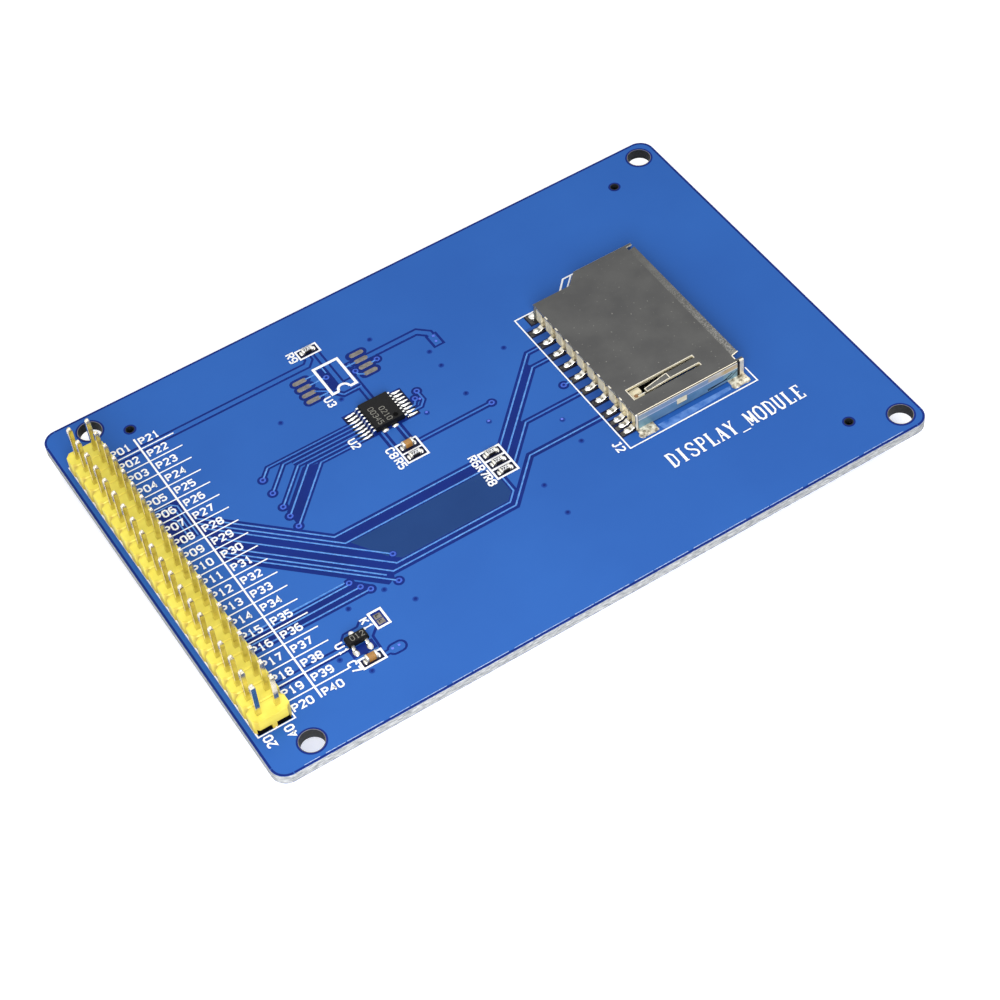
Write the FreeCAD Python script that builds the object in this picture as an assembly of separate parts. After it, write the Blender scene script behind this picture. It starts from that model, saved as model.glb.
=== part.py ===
"""A small touch display board, lying with its screen down and its parts side up.

The frame is +Z up, with the origin under the middle of the board, on the face of the touch film.
X runs along the long side, from the pin header to the mouth of the card socket.
Y runs along the short side, from the first pins to the last. All sizes are in millimetres.
"""
import FreeCAD, Part
import math
import os

V = FreeCAD.Vector

# The circuit board reaches past the display by these margins, and its holes are set from its edges
header_side_margin = 9.65
far_side_margin = 7.95
long_side_margin = 4.8
board_thickness = 1.5
board_corner_radius = 2.1
screw_hole_diameter = 3.2
screw_inset_header_side = 6.05
screw_inset_far_side = 2.75
screw_inset_y = 2.8
peg_clearance = 0.1

# The display's layers, from the touch film up to the foam tape under the board
touch_film_thickness = 0.2
touch_gasket_thickness = 0.1
touch_glass_thickness = 0.7
touch_tape_thickness = 0.3
polariser_thickness = 0.2
lcd_glass_thickness = 0.5
prism_thickness = 0.15
diffuser_thickness = 0.15
light_guide_thickness = 0.7
reflector_thickness = 0.1
foam_tape_thickness = 0.5

# The display's outlines
frame_length = 77.7
frame_width = 55.0
frame_corner_radius = 0.8
frame_wall = 0.9
frame_ledge = 0.9
glass_clearance = 0.15
sheet_clearance = 0.2
touch_inset_x = 1.05
touch_inset_y = 0.5
touch_border = 2.6
gasket_border = 2.0
lcd_ledge = 2.9
polariser_inset = 1.1
peg_diameter = 0.9
peg_inset = 0.85
peg_depth_in_board = 0.6
foam_strip_width = 6.0
foam_strip_inset = 1.2
foam_end_inset = 2.6

# The backlight's lamps and the driver on the glass ledge
led_count = 6
led_pitch = 8.2
led_length = 3.0
led_depth = 1.1
led_height = 0.6
led_strip_width = 1.6
driver_length = 18.0
driver_width = 1.2
driver_height = 0.3

# The two flexible tails, folded round the end of the display
display_flex_width = 32.0
display_flex_thickness = 0.12
display_flex_bond = 1.0
display_flex_land = 12.0
display_flex_reach = 0.35
touch_flex_width = 5.0
touch_flex_thickness = 0.1
touch_flex_inset = 6.5
touch_flex_bond = 1.6
touch_flex_land = 2.2
touch_flex_reach = 0.6
flex_slot_clearance = 0.3

# The pin header
pin_rows = 2
pin_count = 20
pin_pitch = 2.54
pin_size = 0.64
pin_tip_size = 0.3
pin_taper = 0.55
pin_above_board = 8.2
pin_below_board = 3.0
pin_hole_diameter = 1.0
pin_hole_sides = 8
header_inset = 3.5
header_y = 0.05
header_height = 2.5
header_chamfer = 0.6
header_channel_width = 1.9
header_channel_height = 0.5
header_groove = 0.16
solder_base_diameter = 1.7
solder_top_diameter = 0.95
solder_height = 0.9

# The card socket's stamped cover
cover_rear_x = 16.1
cover_mouth_x = 32.0
cover_lip_length = 0.9
cover_lip_rise = 0.3
cover_far_y = 14.0
cover_step_y = 12.0
cover_step_x = 21.9
cover_height = 2.9
cover_sheet = 0.25
cover_bend_radius = 0.24
cover_board_gap = 0.1
lip_notch = 0.75
cover_strip = 0.5
foot_length = 2.5
foot_width = 1.5
corner_tab_length = 1.0
corner_tab_width = 0.9
latch_x = 23.2
latch_length = 1.6
latch_bottom = 0.9
latch_height = 1.0
slit_x = 27.2
slit_height = 0.6
slit_width = 0.14

# The spring arm that is cut in the cover, and its window
arm_root_x = 27.8
arm_bend_x = 23.3
arm_tip_x = 19.9
arm_inset = 2.8
arm_width = 1.1
arm_tip_width = 0.7
arm_slot = 0.45
arm_drop = 0.55
window_x = 17.6

# The card socket's moulded base and its contacts
base_gap = 0.05
floor_thickness = 0.45
rear_wall = 0.85
side_wall = 0.25
card_width = 24.0
card_clearance = 0.125
card_bevel = 3.8
card_stop_x = 20.7
boss_length = 2.2
boss_width = 2.2
boss_drop = 0.3
contact_count = 8
contact_pitch = 2.5
first_contact_inset = 3.45
last_contact_step = 1.65
switch_count = 2
switch_step = 1.15
contact_width = 0.8
contact_thickness = 0.15
contact_groove = 1.1
wall_notch_depth = 0.4
tail_length = 0.8
tail_slope = 0.4
tail_start_x = 14.9
contact_bend_x = 20.5
contact_rise = 0.75
contact_top_x = 25.0
contact_top_length = 0.8
contact_tip_length = 1.4
contact_tip_drop = 0.5
switch_length = 3.6

# The push-push slider, its spring and its cam wire
slider_travel = 3.8
slider_clearance = 0.05
slider_width = 0.8
slider_height = 1.1
slider_end_x = 30.8
slider_foot_x = 23.7
slider_foot_length = 1.0
slider_foot_width = 0.75
slider_tail = 0.3
cam_pocket_width = 0.5
cam_pocket_depth = 0.7
cam_pocket_wall = 0.5
wire_diameter = 0.35
wire_sides = 12
wire_gap = 0.05
wire_pivot_x = 18.5
wire_bend_x = 20.6
wire_hook_depth = 0.55
wire_turn_x = 24.0
spring_diameter = 0.85
spring_wire = 0.12
spring_turns = 6
spring_end_gap = 0.04

# The touch controller, sixteen legs at fine pitch
touch_chip_x = -9.05
touch_chip_y = 9.45
touch_chip_width = 4.4
touch_chip_length = 5.0
touch_chip_height = 1.05
touch_chip_span = 6.4
touch_chip_legs = 8
touch_chip_pitch = 0.65
touch_chip_leg_width = 0.24
chip_dot_diameter = 0.6
chip_dot_depth = 0.05
chip_dot_inset = 0.85

# The voltage regulator, three legs
regulator_x = -30.0
regulator_y = -20.1
regulator_length = 2.9
regulator_width = 1.4
regulator_height = 1.1
regulator_span = 2.8
regulator_leg_width = 0.42
regulator_leg_spread = 1.9

# What both packages share
package_standoff = 0.1
package_draft = 0.1
leg_thickness = 0.14
leg_foot = 0.4

# Chip resistors and chip capacitors, all lying along X
chip_length = 1.6
chip_width = 0.8
chip_cap_length = 0.32
chip_cap_lap = 0.02
resistor_height = 0.45
capacitor_height = 0.8
resistor_places = [(-11.4, 25.0), (-8.95, 1.15), (-1.0, -4.4), (-1.0, -6.1), (-1.0, -7.8)]
capacitor_places = [(-8.95, 2.95), (-29.8, -23.35)]

# Heights of the layers
gasket_z = touch_film_thickness
touch_glass_z = gasket_z + touch_gasket_thickness
tape_z = touch_glass_z + touch_glass_thickness
front_glass_z = tape_z + touch_tape_thickness
rear_glass_z = front_glass_z + lcd_glass_thickness
rear_polariser_z = rear_glass_z + lcd_glass_thickness
prism_z = rear_polariser_z + polariser_thickness
diffuser_z = prism_z + prism_thickness
guide_z = diffuser_z + diffuser_thickness
reflector_z = guide_z + light_guide_thickness
foam_z = reflector_z + reflector_thickness
board_z = foam_z + foam_tape_thickness
top_z = board_z + board_thickness

# The board's outline, and the middle of the header on it
board_length = header_side_margin + frame_length + far_side_margin
board_width = frame_width + 2 * long_side_margin
board_x0 = -board_length / 2
board_x1 = board_length / 2
board_y1 = board_width / 2
header_x = board_x0 + header_inset

# Edges of the display, of its frame's pocket and of the opening behind the glass
frame_x0 = board_x0 + header_side_margin
frame_x1 = frame_x0 + frame_length
frame_y1 = frame_width / 2
pocket_x0 = frame_x0 + frame_wall
pocket_x1 = frame_x1 - frame_wall
pocket_y1 = frame_y1 - frame_wall
glass_x0 = pocket_x0 + glass_clearance
glass_x1 = pocket_x1 - glass_clearance
glass_y1 = pocket_y1 - glass_clearance
open_x0 = pocket_x0 + frame_ledge
open_x1 = pocket_x1 - frame_ledge
open_y1 = pocket_y1 - frame_ledge
touch_x0 = frame_x0 + touch_inset_x
touch_x1 = frame_x1 - touch_inset_x
touch_y1 = frame_y1 - touch_inset_y
touch_flex_y = frame_y1 - touch_flex_inset

# Edges inside the card socket: the card lies against the far wall, and the slider beyond its near edge
inner_far_y = cover_far_y - cover_sheet - base_gap
inner_step_y = cover_step_y - cover_sheet - base_gap
card_y1 = inner_far_y - side_wall
slider_y1 = card_y1 - card_width - 2 * card_clearance
slider_y0 = slider_y1 - slider_width
lane_y = slider_y0 - slider_clearance
inner_near_y = lane_y - side_wall
cover_near_y = inner_near_y - base_gap - cover_sheet
contact_first_y = card_y1 - first_contact_inset
base_x0 = cover_rear_x + cover_sheet
cavity_x0 = base_x0 + rear_wall
base_height = cover_height - cover_sheet - base_gap
arm_near_y = cover_near_y + arm_inset
arm_far_y = arm_near_y + arm_width
arm_middle_y = (arm_near_y + arm_far_y) / 2
wire_z = top_z + cover_height - cover_sheet - arm_drop - wire_gap - wire_diameter / 2
slider_middle_y = (slider_y0 + slider_y1) / 2
slider_z0 = top_z + floor_thickness + slider_clearance
slider_x0 = slider_foot_x - slider_tail


def block(x0, x1, y0, y1, z0, z1):
    """A box between six planes."""
    return Part.makeBox(x1 - x0, y1 - y0, z1 - z0, V(x0, y0, z0))


def plate(points, z0, z1):
    """A flat plate with the outline points, in plan."""
    corners = [V(x, y, z0) for x, y in points]
    return Part.Face(Part.makePolygon(corners + corners[:1])).extrude(V(0, 0, z1 - z0))


def side_profile(points, y0, y1):
    """A prism along Y whose outline, seen from the side, is a list of (x, z)."""
    corners = [V(x, y0, z) for x, z in points]
    return Part.Face(Part.makePolygon(corners + corners[:1])).extrude(V(0, y1 - y0, 0))


def end_profile(points, x0, x1):
    """A prism along X whose outline, seen from the end, is a list of (y, z)."""
    corners = [V(x0, y, z) for y, z in points]
    return Part.Face(Part.makePolygon(corners + corners[:1])).extrude(V(x1 - x0, 0, 0))


def strip_outline(path, thickness):
    """The outline of a bent strip: the path is its lower face, and the upper one is offset to the left."""
    upper = []
    for i, (x, z) in enumerate(path):
        before = path[max(i - 1, 0)]
        after = path[min(i + 1, len(path) - 1)]
        here = math.atan2(z - before[1], x - before[0]) if i else None
        next_turn = math.atan2(after[1] - z, after[0] - x) if i < len(path) - 1 else None
        first = here if here is not None else next_turn
        last = next_turn if next_turn is not None else here
        middle = (first + last) / 2
        reach = thickness / math.cos((last - first) / 2)
        upper.append((x - reach * math.sin(middle), z + reach * math.cos(middle)))
    return path + upper[::-1]


def rounded_plate(x0, x1, y0, y1, z0, z1, radius):
    """A flat plate with four round corners."""
    slab = block(x0, x1, y0, y1, z0, z1)
    upright = [e for e in slab.Edges if abs(e.tangentAt(e.FirstParameter).z) > 0.9]
    return slab.makeFillet(radius, upright)


def ring_points(radius, sides):
    """The corners of a regular polygon whose flats lie at the radius, in plan."""
    reach = radius / math.cos(math.pi / sides)
    turns = [2 * math.pi * (i + 0.5) / sides for i in range(sides)]
    return [(reach * math.cos(turn), reach * math.sin(turn)) for turn in turns]


def tapered_solid(low, high):
    """A solid with flat sides between two polygons that have as many corners."""
    faces = [Part.Face(Part.makePolygon(ring + ring[:1])) for ring in (low, high)]
    for i in range(len(low)):
        j = (i + 1) % len(low)
        faces.append(Part.Face(Part.makePolygon([low[i], low[j], high[j], high[i], low[i]])))
    shell = Part.makeShell(faces)
    shell.sewShape()
    return Part.makeSolid(shell)


def pin_places():
    """Where the header's pins stand: the row by the board's edge first, then the inner row."""
    places = []
    for row in range(pin_rows):
        x = header_x + (row - (pin_rows - 1) / 2) * pin_pitch
        for i in range(pin_count):
            places.append((x, header_y + (i - (pin_count - 1) / 2) * pin_pitch))
    return places


def peg_places():
    """The three corners of the display frame that have a locating peg."""
    near_y, far_y = peg_inset - frame_y1, frame_y1 - peg_inset
    return [(frame_x0 + peg_inset, far_y), (frame_x1 - peg_inset, far_y), (frame_x1 - peg_inset, near_y)]


def contact_places():
    """The card contacts along Y, from the bevelled corner of the card: the last one stands closer."""
    places = [contact_first_y - i * contact_pitch for i in range(contact_count)]
    return places + [places[-1] - last_contact_step]


def switch_places():
    """The two card switch contacts along Y, beyond the card contacts."""
    return [contact_places()[-1] - (i + 1) * switch_step for i in range(switch_count)]


def circuit_board():
    """The laminate, with its screw holes, locating holes and header holes."""
    board = rounded_plate(board_x0, board_x1, -board_y1, board_y1, board_z, top_z, board_corner_radius)
    holes = []
    for x in (board_x0 + screw_inset_header_side, board_x1 - screw_inset_far_side):
        for y in (screw_inset_y - board_y1, board_y1 - screw_inset_y):
            holes.append(Part.makeCylinder(screw_hole_diameter / 2, board_thickness, V(x, y, board_z)))
    for x, y in peg_places():
        holes.append(Part.makeCylinder(peg_diameter / 2 + peg_clearance, board_thickness, V(x, y, board_z)))
    pin_hole = plate(ring_points(pin_hole_diameter / 2, pin_hole_sides), board_z, top_z)
    for x, y in pin_places():
        holes.append(pin_hole.translated(V(x, y, 0)))
    return board.cut(Part.makeCompound(holes))


def header_body():
    """The moulded header: bevelled lobes at each pair of pins, channels below and break grooves on top."""
    half_x = pin_rows * pin_pitch / 2
    start_y = header_y - pin_count * pin_pitch / 2
    flat = pin_pitch - 2 * header_chamfer
    right = []
    for i in range(pin_count):
        y = start_y + i * pin_pitch
        right += [(half_x - header_chamfer, y), (half_x, y + header_chamfer)]
        right += [(half_x, y + header_chamfer + flat)]
    right.append((half_x - header_chamfer, start_y + pin_count * pin_pitch))
    outline = [(header_x + x, y) for x, y in right] + [(header_x - x, y) for x, y in right[::-1]]
    body = plate(outline, top_z, top_z + header_height)
    cuts = []
    end_y = start_y + pin_count * pin_pitch
    for side in (-1, 1):
        x = header_x + side * pin_pitch / 2
        half = header_channel_width / 2
        cuts.append(block(x - half, x + half, start_y, end_y, top_z, top_z + header_channel_height))
    body = body.cut(Part.makeCompound(cuts))
    crown = top_z + header_height
    grooves = []
    for i in range(1, pin_count):
        y = start_y + i * pin_pitch
        notch = [(y - header_groove, crown), (y, crown - header_groove), (y + header_groove, crown)]
        grooves.append(end_profile(notch, header_x - half_x, header_x + half_x))
    half_pin = pin_size / 2
    for x, y in pin_places():
        grooves.append(block(x - half_pin, x + half_pin, y - half_pin, y + half_pin, top_z, crown))
    return body.cut(Part.makeCompound(grooves))


def header_pins():
    """The forty square pins, tapered at both ends."""
    low, high = top_z - pin_below_board, top_z + pin_above_board
    half, tip = pin_size / 2, pin_tip_size / 2
    side = [(-tip, low), (tip, low), (half, low + pin_taper), (half, high - pin_taper)]
    side += [(tip, high), (-tip, high), (-half, high - pin_taper), (-half, low + pin_taper)]
    pin = side_profile(side, -half, half).common(end_profile(side, -half, half))
    return Part.makeCompound([pin.translated(V(x, y, 0)) for x, y in pin_places()])


def header_solder():
    """The solder fillets round the pins, below the board."""
    half = pin_size / 2
    tip_z = board_z - solder_height
    tip = [V(x, y, tip_z) for x, y in ring_points(solder_top_diameter / 2, pin_hole_sides)]
    base = [V(x, y, board_z) for x, y in ring_points(solder_base_diameter / 2, pin_hole_sides)]
    fillet = tapered_solid(tip, base).cut(block(-half, half, -half, half, tip_z, board_z))
    return Part.makeCompound([fillet.translated(V(x, y, 0)) for x, y in pin_places()])


def touch_plate(z0, z1):
    """One full layer of the touch panel."""
    return block(touch_x0, touch_x1, -touch_y1, touch_y1, z0, z1)


def touch_gasket():
    """The thin adhesive frame between the touch film and its glass, open where the tail enters."""
    ring = touch_plate(gasket_z, touch_glass_z)
    ring = ring.cut(block(touch_x0 + gasket_border, touch_x1 - gasket_border,
                          gasket_border - touch_y1, touch_y1 - gasket_border, gasket_z, touch_glass_z))
    half = touch_flex_width / 2 + flex_slot_clearance
    slot = block(touch_x0, touch_x0 + gasket_border, touch_flex_y - half, touch_flex_y + half,
                 gasket_z, touch_glass_z)
    return ring.cut(slot)


def touch_tape():
    """The tape frame that holds the touch panel to the display."""
    ring = touch_plate(tape_z, front_glass_z)
    return ring.cut(block(touch_x0 + touch_border, touch_x1 - touch_border,
                          touch_border - touch_y1, touch_y1 - touch_border, tape_z, front_glass_z))


def front_polariser():
    """The polariser on the front glass, inside the tape's window."""
    x0 = max(touch_x0 + touch_border, glass_x0 + lcd_ledge) + polariser_inset
    x1 = touch_x1 - touch_border - sheet_clearance
    y1 = touch_y1 - touch_border - sheet_clearance
    return block(x0, x1, -y1, y1, front_glass_z - polariser_thickness, front_glass_z)


def lcd_front_glass():
    """The colour filter glass, shorter than the rear glass by the ledge."""
    return block(glass_x0 + lcd_ledge, glass_x1, -glass_y1, glass_y1, front_glass_z, rear_glass_z)


def lcd_rear_glass():
    """The transistor glass, whose ledge carries the driver and the tail."""
    return block(glass_x0, glass_x1, -glass_y1, glass_y1, rear_glass_z, rear_polariser_z)


def inner_sheet(z0, thickness, start_x):
    """A sheet inside the opening of the display frame."""
    end_x, far_y = open_x1 - sheet_clearance, open_y1 - sheet_clearance
    return block(start_x, end_x, -far_y, far_y, z0, z0 + thickness)


led_x0 = open_x0 + sheet_clearance
guide_x0 = led_x0 + led_depth


def backlight_frame():
    """The moulded frame: a pocket for the glass, a ledge, an opening for the lamps and three pegs."""
    frame = rounded_plate(frame_x0, frame_x1, -frame_y1, frame_y1, front_glass_z, foam_z, frame_corner_radius)
    pocket = block(pocket_x0, pocket_x1, -pocket_y1, pocket_y1, front_glass_z, rear_polariser_z)
    opening = block(open_x0, open_x1, -open_y1, open_y1, rear_polariser_z, foam_z)
    half = display_flex_width / 2 + flex_slot_clearance
    slot = block(frame_x0, pocket_x0, -half, half, front_glass_z, rear_glass_z + flex_slot_clearance)
    frame = frame.cut(Part.makeCompound([pocket, opening])).cut(slot)
    pegs = []
    for x, y in peg_places():
        height = foam_tape_thickness + peg_depth_in_board
        pegs.append(Part.makeCylinder(peg_diameter / 2, height, V(x, y, foam_z)))
    return frame.fuse(pegs).removeSplitter()


def backlight_leds():
    """The white side-view lamps along the end of the light guide."""
    lamps = []
    for i in range(led_count):
        y = (i - (led_count - 1) / 2) * led_pitch
        lamps.append(block(led_x0, led_x0 + led_depth, y - led_length / 2, y + led_length / 2,
                           reflector_z - led_height, reflector_z))
    return Part.makeCompound(lamps)


def led_strip():
    """The narrow flexible strip that carries the lamps."""
    far_y = open_y1 - sheet_clearance
    return block(led_x0, led_x0 + led_strip_width, -far_y, far_y, reflector_z, foam_z)


def driver_chip():
    """The bare driver on the glass ledge, face down."""
    middle = glass_x0 + lcd_ledge - driver_width
    return block(middle - driver_width / 2, middle + driver_width / 2, -driver_length / 2, driver_length / 2,
                 rear_glass_z - driver_height, rear_glass_z)


def folded_tail(start_x, bend_x, end_x, low_z, thickness, y0, y1):
    """A flexible tail: from the display out past its end, round half a turn and back under the board."""
    outer = (board_z - low_z) / 2
    inner = outer - thickness
    middle_z = low_z + outer
    outside = Part.Arc(V(bend_x, y0, low_z), V(bend_x - outer, y0, middle_z), V(bend_x, y0, board_z))
    inside = Part.Arc(V(bend_x, y0, board_z - thickness), V(bend_x - inner, y0, middle_z),
                      V(bend_x, y0, low_z + thickness))
    edges = [Part.LineSegment(V(start_x, y0, low_z), V(bend_x, y0, low_z)), outside,
             Part.LineSegment(V(bend_x, y0, board_z), V(end_x, y0, board_z)),
             Part.LineSegment(V(end_x, y0, board_z), V(end_x, y0, board_z - thickness)),
             Part.LineSegment(V(end_x, y0, board_z - thickness), V(bend_x, y0, board_z - thickness)), inside,
             Part.LineSegment(V(bend_x, y0, low_z + thickness), V(start_x, y0, low_z + thickness)),
             Part.LineSegment(V(start_x, y0, low_z + thickness), V(start_x, y0, low_z))]
    wire = Part.Wire([e.toShape() for e in edges])
    return Part.Face(wire).extrude(V(0, y1 - y0, 0))


def display_flex():
    """The display's tail, bonded under the glass ledge and soldered below the board."""
    bend_x = frame_x0 - display_flex_reach
    low_z = rear_glass_z - display_flex_thickness
    return folded_tail(glass_x0 + display_flex_bond, bend_x, bend_x + display_flex_land, low_z,
                       display_flex_thickness, -display_flex_width / 2, display_flex_width / 2)


def touch_flex():
    """The touch panel's tail, from between its film and glass to the board."""
    bend_x = frame_x0 - touch_flex_reach
    half = touch_flex_width / 2
    return folded_tail(touch_x0 + touch_flex_bond, bend_x, bend_x + touch_flex_land, gasket_z,
                       touch_flex_thickness, touch_flex_y - half, touch_flex_y + half)


def foam_tape():
    """Two strips of foam tape that hold the display to the board."""
    strips = []
    x0, x1 = frame_x0 + foam_end_inset, frame_x1 - foam_end_inset
    outer = frame_y1 - foam_strip_inset
    inner = outer - foam_strip_width
    for y0, y1 in ((inner, outer), (-outer, -inner)):
        strips.append(block(x0, x1, y0, y1, foam_z, board_z))
    return Part.makeCompound(strips)


def cover_top():
    """The cover's flat top, with the cut-back at the card's bevelled corner and the slots of the arm."""
    low, high = top_z + cover_height - cover_sheet, top_z + cover_height
    bevel = cover_far_y - cover_step_y
    outline = [(cover_rear_x, cover_near_y), (cover_mouth_x, cover_near_y), (cover_mouth_x, cover_far_y)]
    outline += [(cover_step_x + bevel, cover_far_y), (cover_step_x, cover_step_y)]
    outline += [(cover_rear_x, cover_step_y)]
    window = block(window_x, arm_bend_x, arm_near_y - arm_slot, arm_far_y + arm_slot, low, high)
    slots = [block(arm_bend_x, arm_root_x, arm_far_y, arm_far_y + arm_slot, low, high),
             block(arm_bend_x, arm_root_x, arm_near_y - arm_slot, arm_near_y, low, high)]
    return plate(outline, low, high).cut(window).cut(Part.makeCompound(slots))


def cover_walls():
    """The folded side walls, with the latch window and the slit by the mouth."""
    low, high = top_z + cover_board_gap, top_z + cover_height
    mouth = cover_mouth_x + cover_lip_length
    bevel_x = cover_step_x + cover_far_y - cover_step_y
    near = block(cover_rear_x, mouth, cover_near_y, cover_near_y + cover_sheet, low, high)
    half = latch_length / 2
    window = block(latch_x - half, latch_x + half, cover_near_y, cover_near_y + cover_sheet,
                   top_z + latch_bottom, top_z + latch_bottom + latch_height)
    slit_top = slit_height + slit_width
    slit = [(slit_x, slit_height), (cover_mouth_x - foot_length / 2, slit_height),
            (cover_mouth_x, slit_height + foot_width / 2), (cover_mouth_x, slit_top + foot_width / 2),
            (cover_mouth_x - foot_length / 2, slit_top), (slit_x, slit_top)]
    slit = side_profile([(x, top_z + z) for x, z in slit], cover_near_y, cover_near_y + cover_sheet)
    near = near.cut(window).cut(slit)
    far = block(bevel_x, mouth, cover_far_y - cover_sheet, cover_far_y, low, high)
    step = block(cover_rear_x, cover_step_x, cover_step_y - cover_sheet, cover_step_y, low, high)
    return [near, far, step]


def cover_feet():
    """The solder feet that are bent outwards from the side walls, and the corner tab."""
    low, high = top_z, top_z + cover_sheet
    mouth_x0 = cover_mouth_x + cover_lip_length - foot_length
    near_y0, near_y1 = cover_near_y - foot_width, cover_near_y + cover_sheet
    feet = []
    for x0 in (cover_rear_x, mouth_x0):
        feet.append(block(x0, x0 + foot_length, near_y0, near_y1, low, high))
    feet.append(block(mouth_x0, mouth_x0 + foot_length, cover_far_y - cover_sheet, cover_far_y + foot_width,
                      low, high))
    feet.append(block(cover_rear_x, cover_rear_x + corner_tab_length, cover_step_y - cover_sheet,
                      cover_step_y + corner_tab_width, low, high))
    return feet


def cover_lip():
    """The flared lip over the card's mouth, and the two straps beside it."""
    low, high = top_z + cover_height - cover_sheet, top_z + cover_height
    mouth = cover_mouth_x + cover_lip_length
    rise = [(cover_mouth_x, low), (mouth, low + cover_lip_rise)]
    lip = side_profile(strip_outline(rise, cover_sheet), cover_near_y + cover_strip + lip_notch,
                       cover_far_y - cover_strip - lip_notch)
    root = block(cover_mouth_x - cover_sheet, cover_mouth_x, cover_near_y + cover_strip + lip_notch,
                 cover_far_y - cover_strip - lip_notch, low, high)
    near = block(cover_mouth_x, mouth, cover_near_y, cover_near_y + cover_strip, low, high)
    far = block(cover_mouth_x, mouth, cover_far_y - cover_strip, cover_far_y, low, high)
    return [lip, root, near, far]


def cover_arm():
    """The part of the spring arm that is bent down to the cam wire, narrower at its tip."""
    low = top_z + cover_height - cover_sheet
    path = [(arm_tip_x, low - arm_drop), (arm_bend_x, low), (arm_bend_x + cover_sheet, low)]
    arm = side_profile(strip_outline(path, cover_sheet), arm_near_y, arm_far_y)
    half = arm_tip_width / 2
    reach = cover_sheet
    taper = [(arm_bend_x + reach, arm_near_y), (arm_bend_x + reach, arm_far_y), (arm_bend_x, arm_far_y),
             (arm_tip_x - reach, arm_middle_y + half), (arm_tip_x - reach, arm_middle_y - half),
             (arm_bend_x, arm_near_y)]
    return arm.common(plate(taper, low - arm_drop - reach, low + 2 * reach))


def card_socket_cover():
    """The whole stamped cover, folded from one sheet."""
    pieces = cover_walls() + cover_feet() + cover_lip() + [cover_arm()]
    cover = cover_top().fuse(pieces).removeSplitter()
    crown = top_z + cover_height
    folds = []
    for edge in cover.Edges:
        box = edge.BoundBox
        on_crown = abs(box.ZMin - crown) < 1e-6 and abs(box.ZMax - crown) < 1e-6
        on_near = abs(box.YMin - cover_near_y) < 1e-6 and abs(box.YMax - cover_near_y) < 1e-6
        on_far = abs(box.YMin - cover_far_y) < 1e-6 and abs(box.YMax - cover_far_y) < 1e-6
        if on_crown and (on_near or on_far) and box.XLength > foot_length:
            folds.append(edge)
    return cover.makeFillet(min(cover_bend_radius, cover_sheet * 0.96), folds)


def base_outline():
    """The base's outline in plan, just inside the cover."""
    bevel_x = cover_step_x + cover_far_y - cover_step_y
    diagonal = (cover_sheet + base_gap) * (math.sqrt(2) - 1)
    corners = [(base_x0, inner_near_y), (cover_mouth_x, inner_near_y), (cover_mouth_x, inner_far_y)]
    corners += [(bevel_x + diagonal, inner_far_y), (cover_step_x + diagonal, inner_step_y)]
    return corners + [(base_x0, inner_step_y)]


def card_socket_base():
    """The moulded base: a floor, a rear wall with a notch at each contact, side walls and the wire's boss."""
    floor_z = top_z + floor_thickness
    crown = top_z + base_height
    base = plate(base_outline(), top_z, crown)
    inside = [(cavity_x0, lane_y), (cover_mouth_x, lane_y), (cover_mouth_x, card_y1),
              (card_stop_x + card_bevel, card_y1), (card_stop_x, card_y1 - card_bevel),
              (cavity_x0, card_y1 - card_bevel)]
    base = base.cut(plate(inside, floor_z, crown))
    boss_y0, boss_y1 = arm_middle_y - boss_width / 2, arm_middle_y + boss_width / 2
    boss = block(cavity_x0, cavity_x0 + boss_length, boss_y0, boss_y1, floor_z, crown - boss_drop)
    half = latch_length / 2 - base_gap
    latch = block(latch_x - half, latch_x + half, cover_near_y, inner_near_y + side_wall,
                  top_z + latch_bottom + base_gap, top_z + latch_bottom + latch_height - base_gap)
    base = base.fuse([boss, latch])
    cuts = []
    for y in contact_places() + switch_places():
        slot, notch = contact_width / 2, contact_groove / 2
        cuts.append(block(base_x0, cavity_x0, y - slot, y + slot, top_z, floor_z))
        cuts.append(block(base_x0, base_x0 + wall_notch_depth, y - notch, y + notch, top_z, crown))
    end_x = contact_top_x + contact_top_length + 2 * contact_tip_length
    for y in contact_places():
        y0, y1 = y - contact_groove / 2, y + contact_groove / 2
        cuts.append(block(cavity_x0, end_x, y0, y1, top_z, floor_z))
        cuts.append(block(contact_bend_x - contact_thickness, end_x, y0, y1, floor_z, crown))
    for y in switch_places():
        cuts.append(block(cavity_x0, cavity_x0 + switch_length, y - contact_width / 2, y + contact_width / 2,
                          top_z + floor_thickness - contact_thickness, floor_z))
    for cut in cuts:
        base = base.cut(cut)
    radius = wire_diameter / 2 + wire_gap
    pivot = Part.makeCylinder(radius, wire_hook_depth + base_height, V(wire_pivot_x, arm_middle_y,
                              wire_z - wire_hook_depth))
    channel = block(wire_pivot_x, cavity_x0 + boss_length, arm_middle_y - radius, arm_middle_y + radius,
                    wire_z - radius, crown)
    return base.cut(pivot).cut(channel)


def tail_path():
    """The solder tail of a contact, from its foot on the board to the rear wall."""
    run_z = top_z + floor_thickness - contact_thickness
    foot_end = tail_start_x + tail_length
    return [(tail_start_x, top_z), (foot_end, top_z), (foot_end + tail_slope, run_z)]


def contact_blades(path, places):
    """Bent blades of one shape, at each place along Y."""
    half = contact_width / 2
    outline = strip_outline(path, contact_thickness)
    return Part.makeCompound([side_profile(outline, y - half, y + half) for y in places])


def card_contacts():
    """The nine sprung contacts: a tail outside, a run in the floor and a raised tip under the card."""
    run_z = top_z + floor_thickness - contact_thickness
    peak = run_z + contact_rise
    top_end = contact_top_x + contact_top_length
    path = tail_path() + [(contact_bend_x, run_z), (contact_top_x, peak), (top_end, peak)]
    path += [(top_end + contact_tip_length, peak - contact_tip_drop)]
    return contact_blades(path, contact_places())


def switch_contacts():
    """The two flat blades that sense the card, under the slider."""
    run_z = top_z + floor_thickness - contact_thickness
    path = tail_path() + [(cavity_x0 + switch_length, run_z)]
    return contact_blades(path, switch_places())


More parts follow.
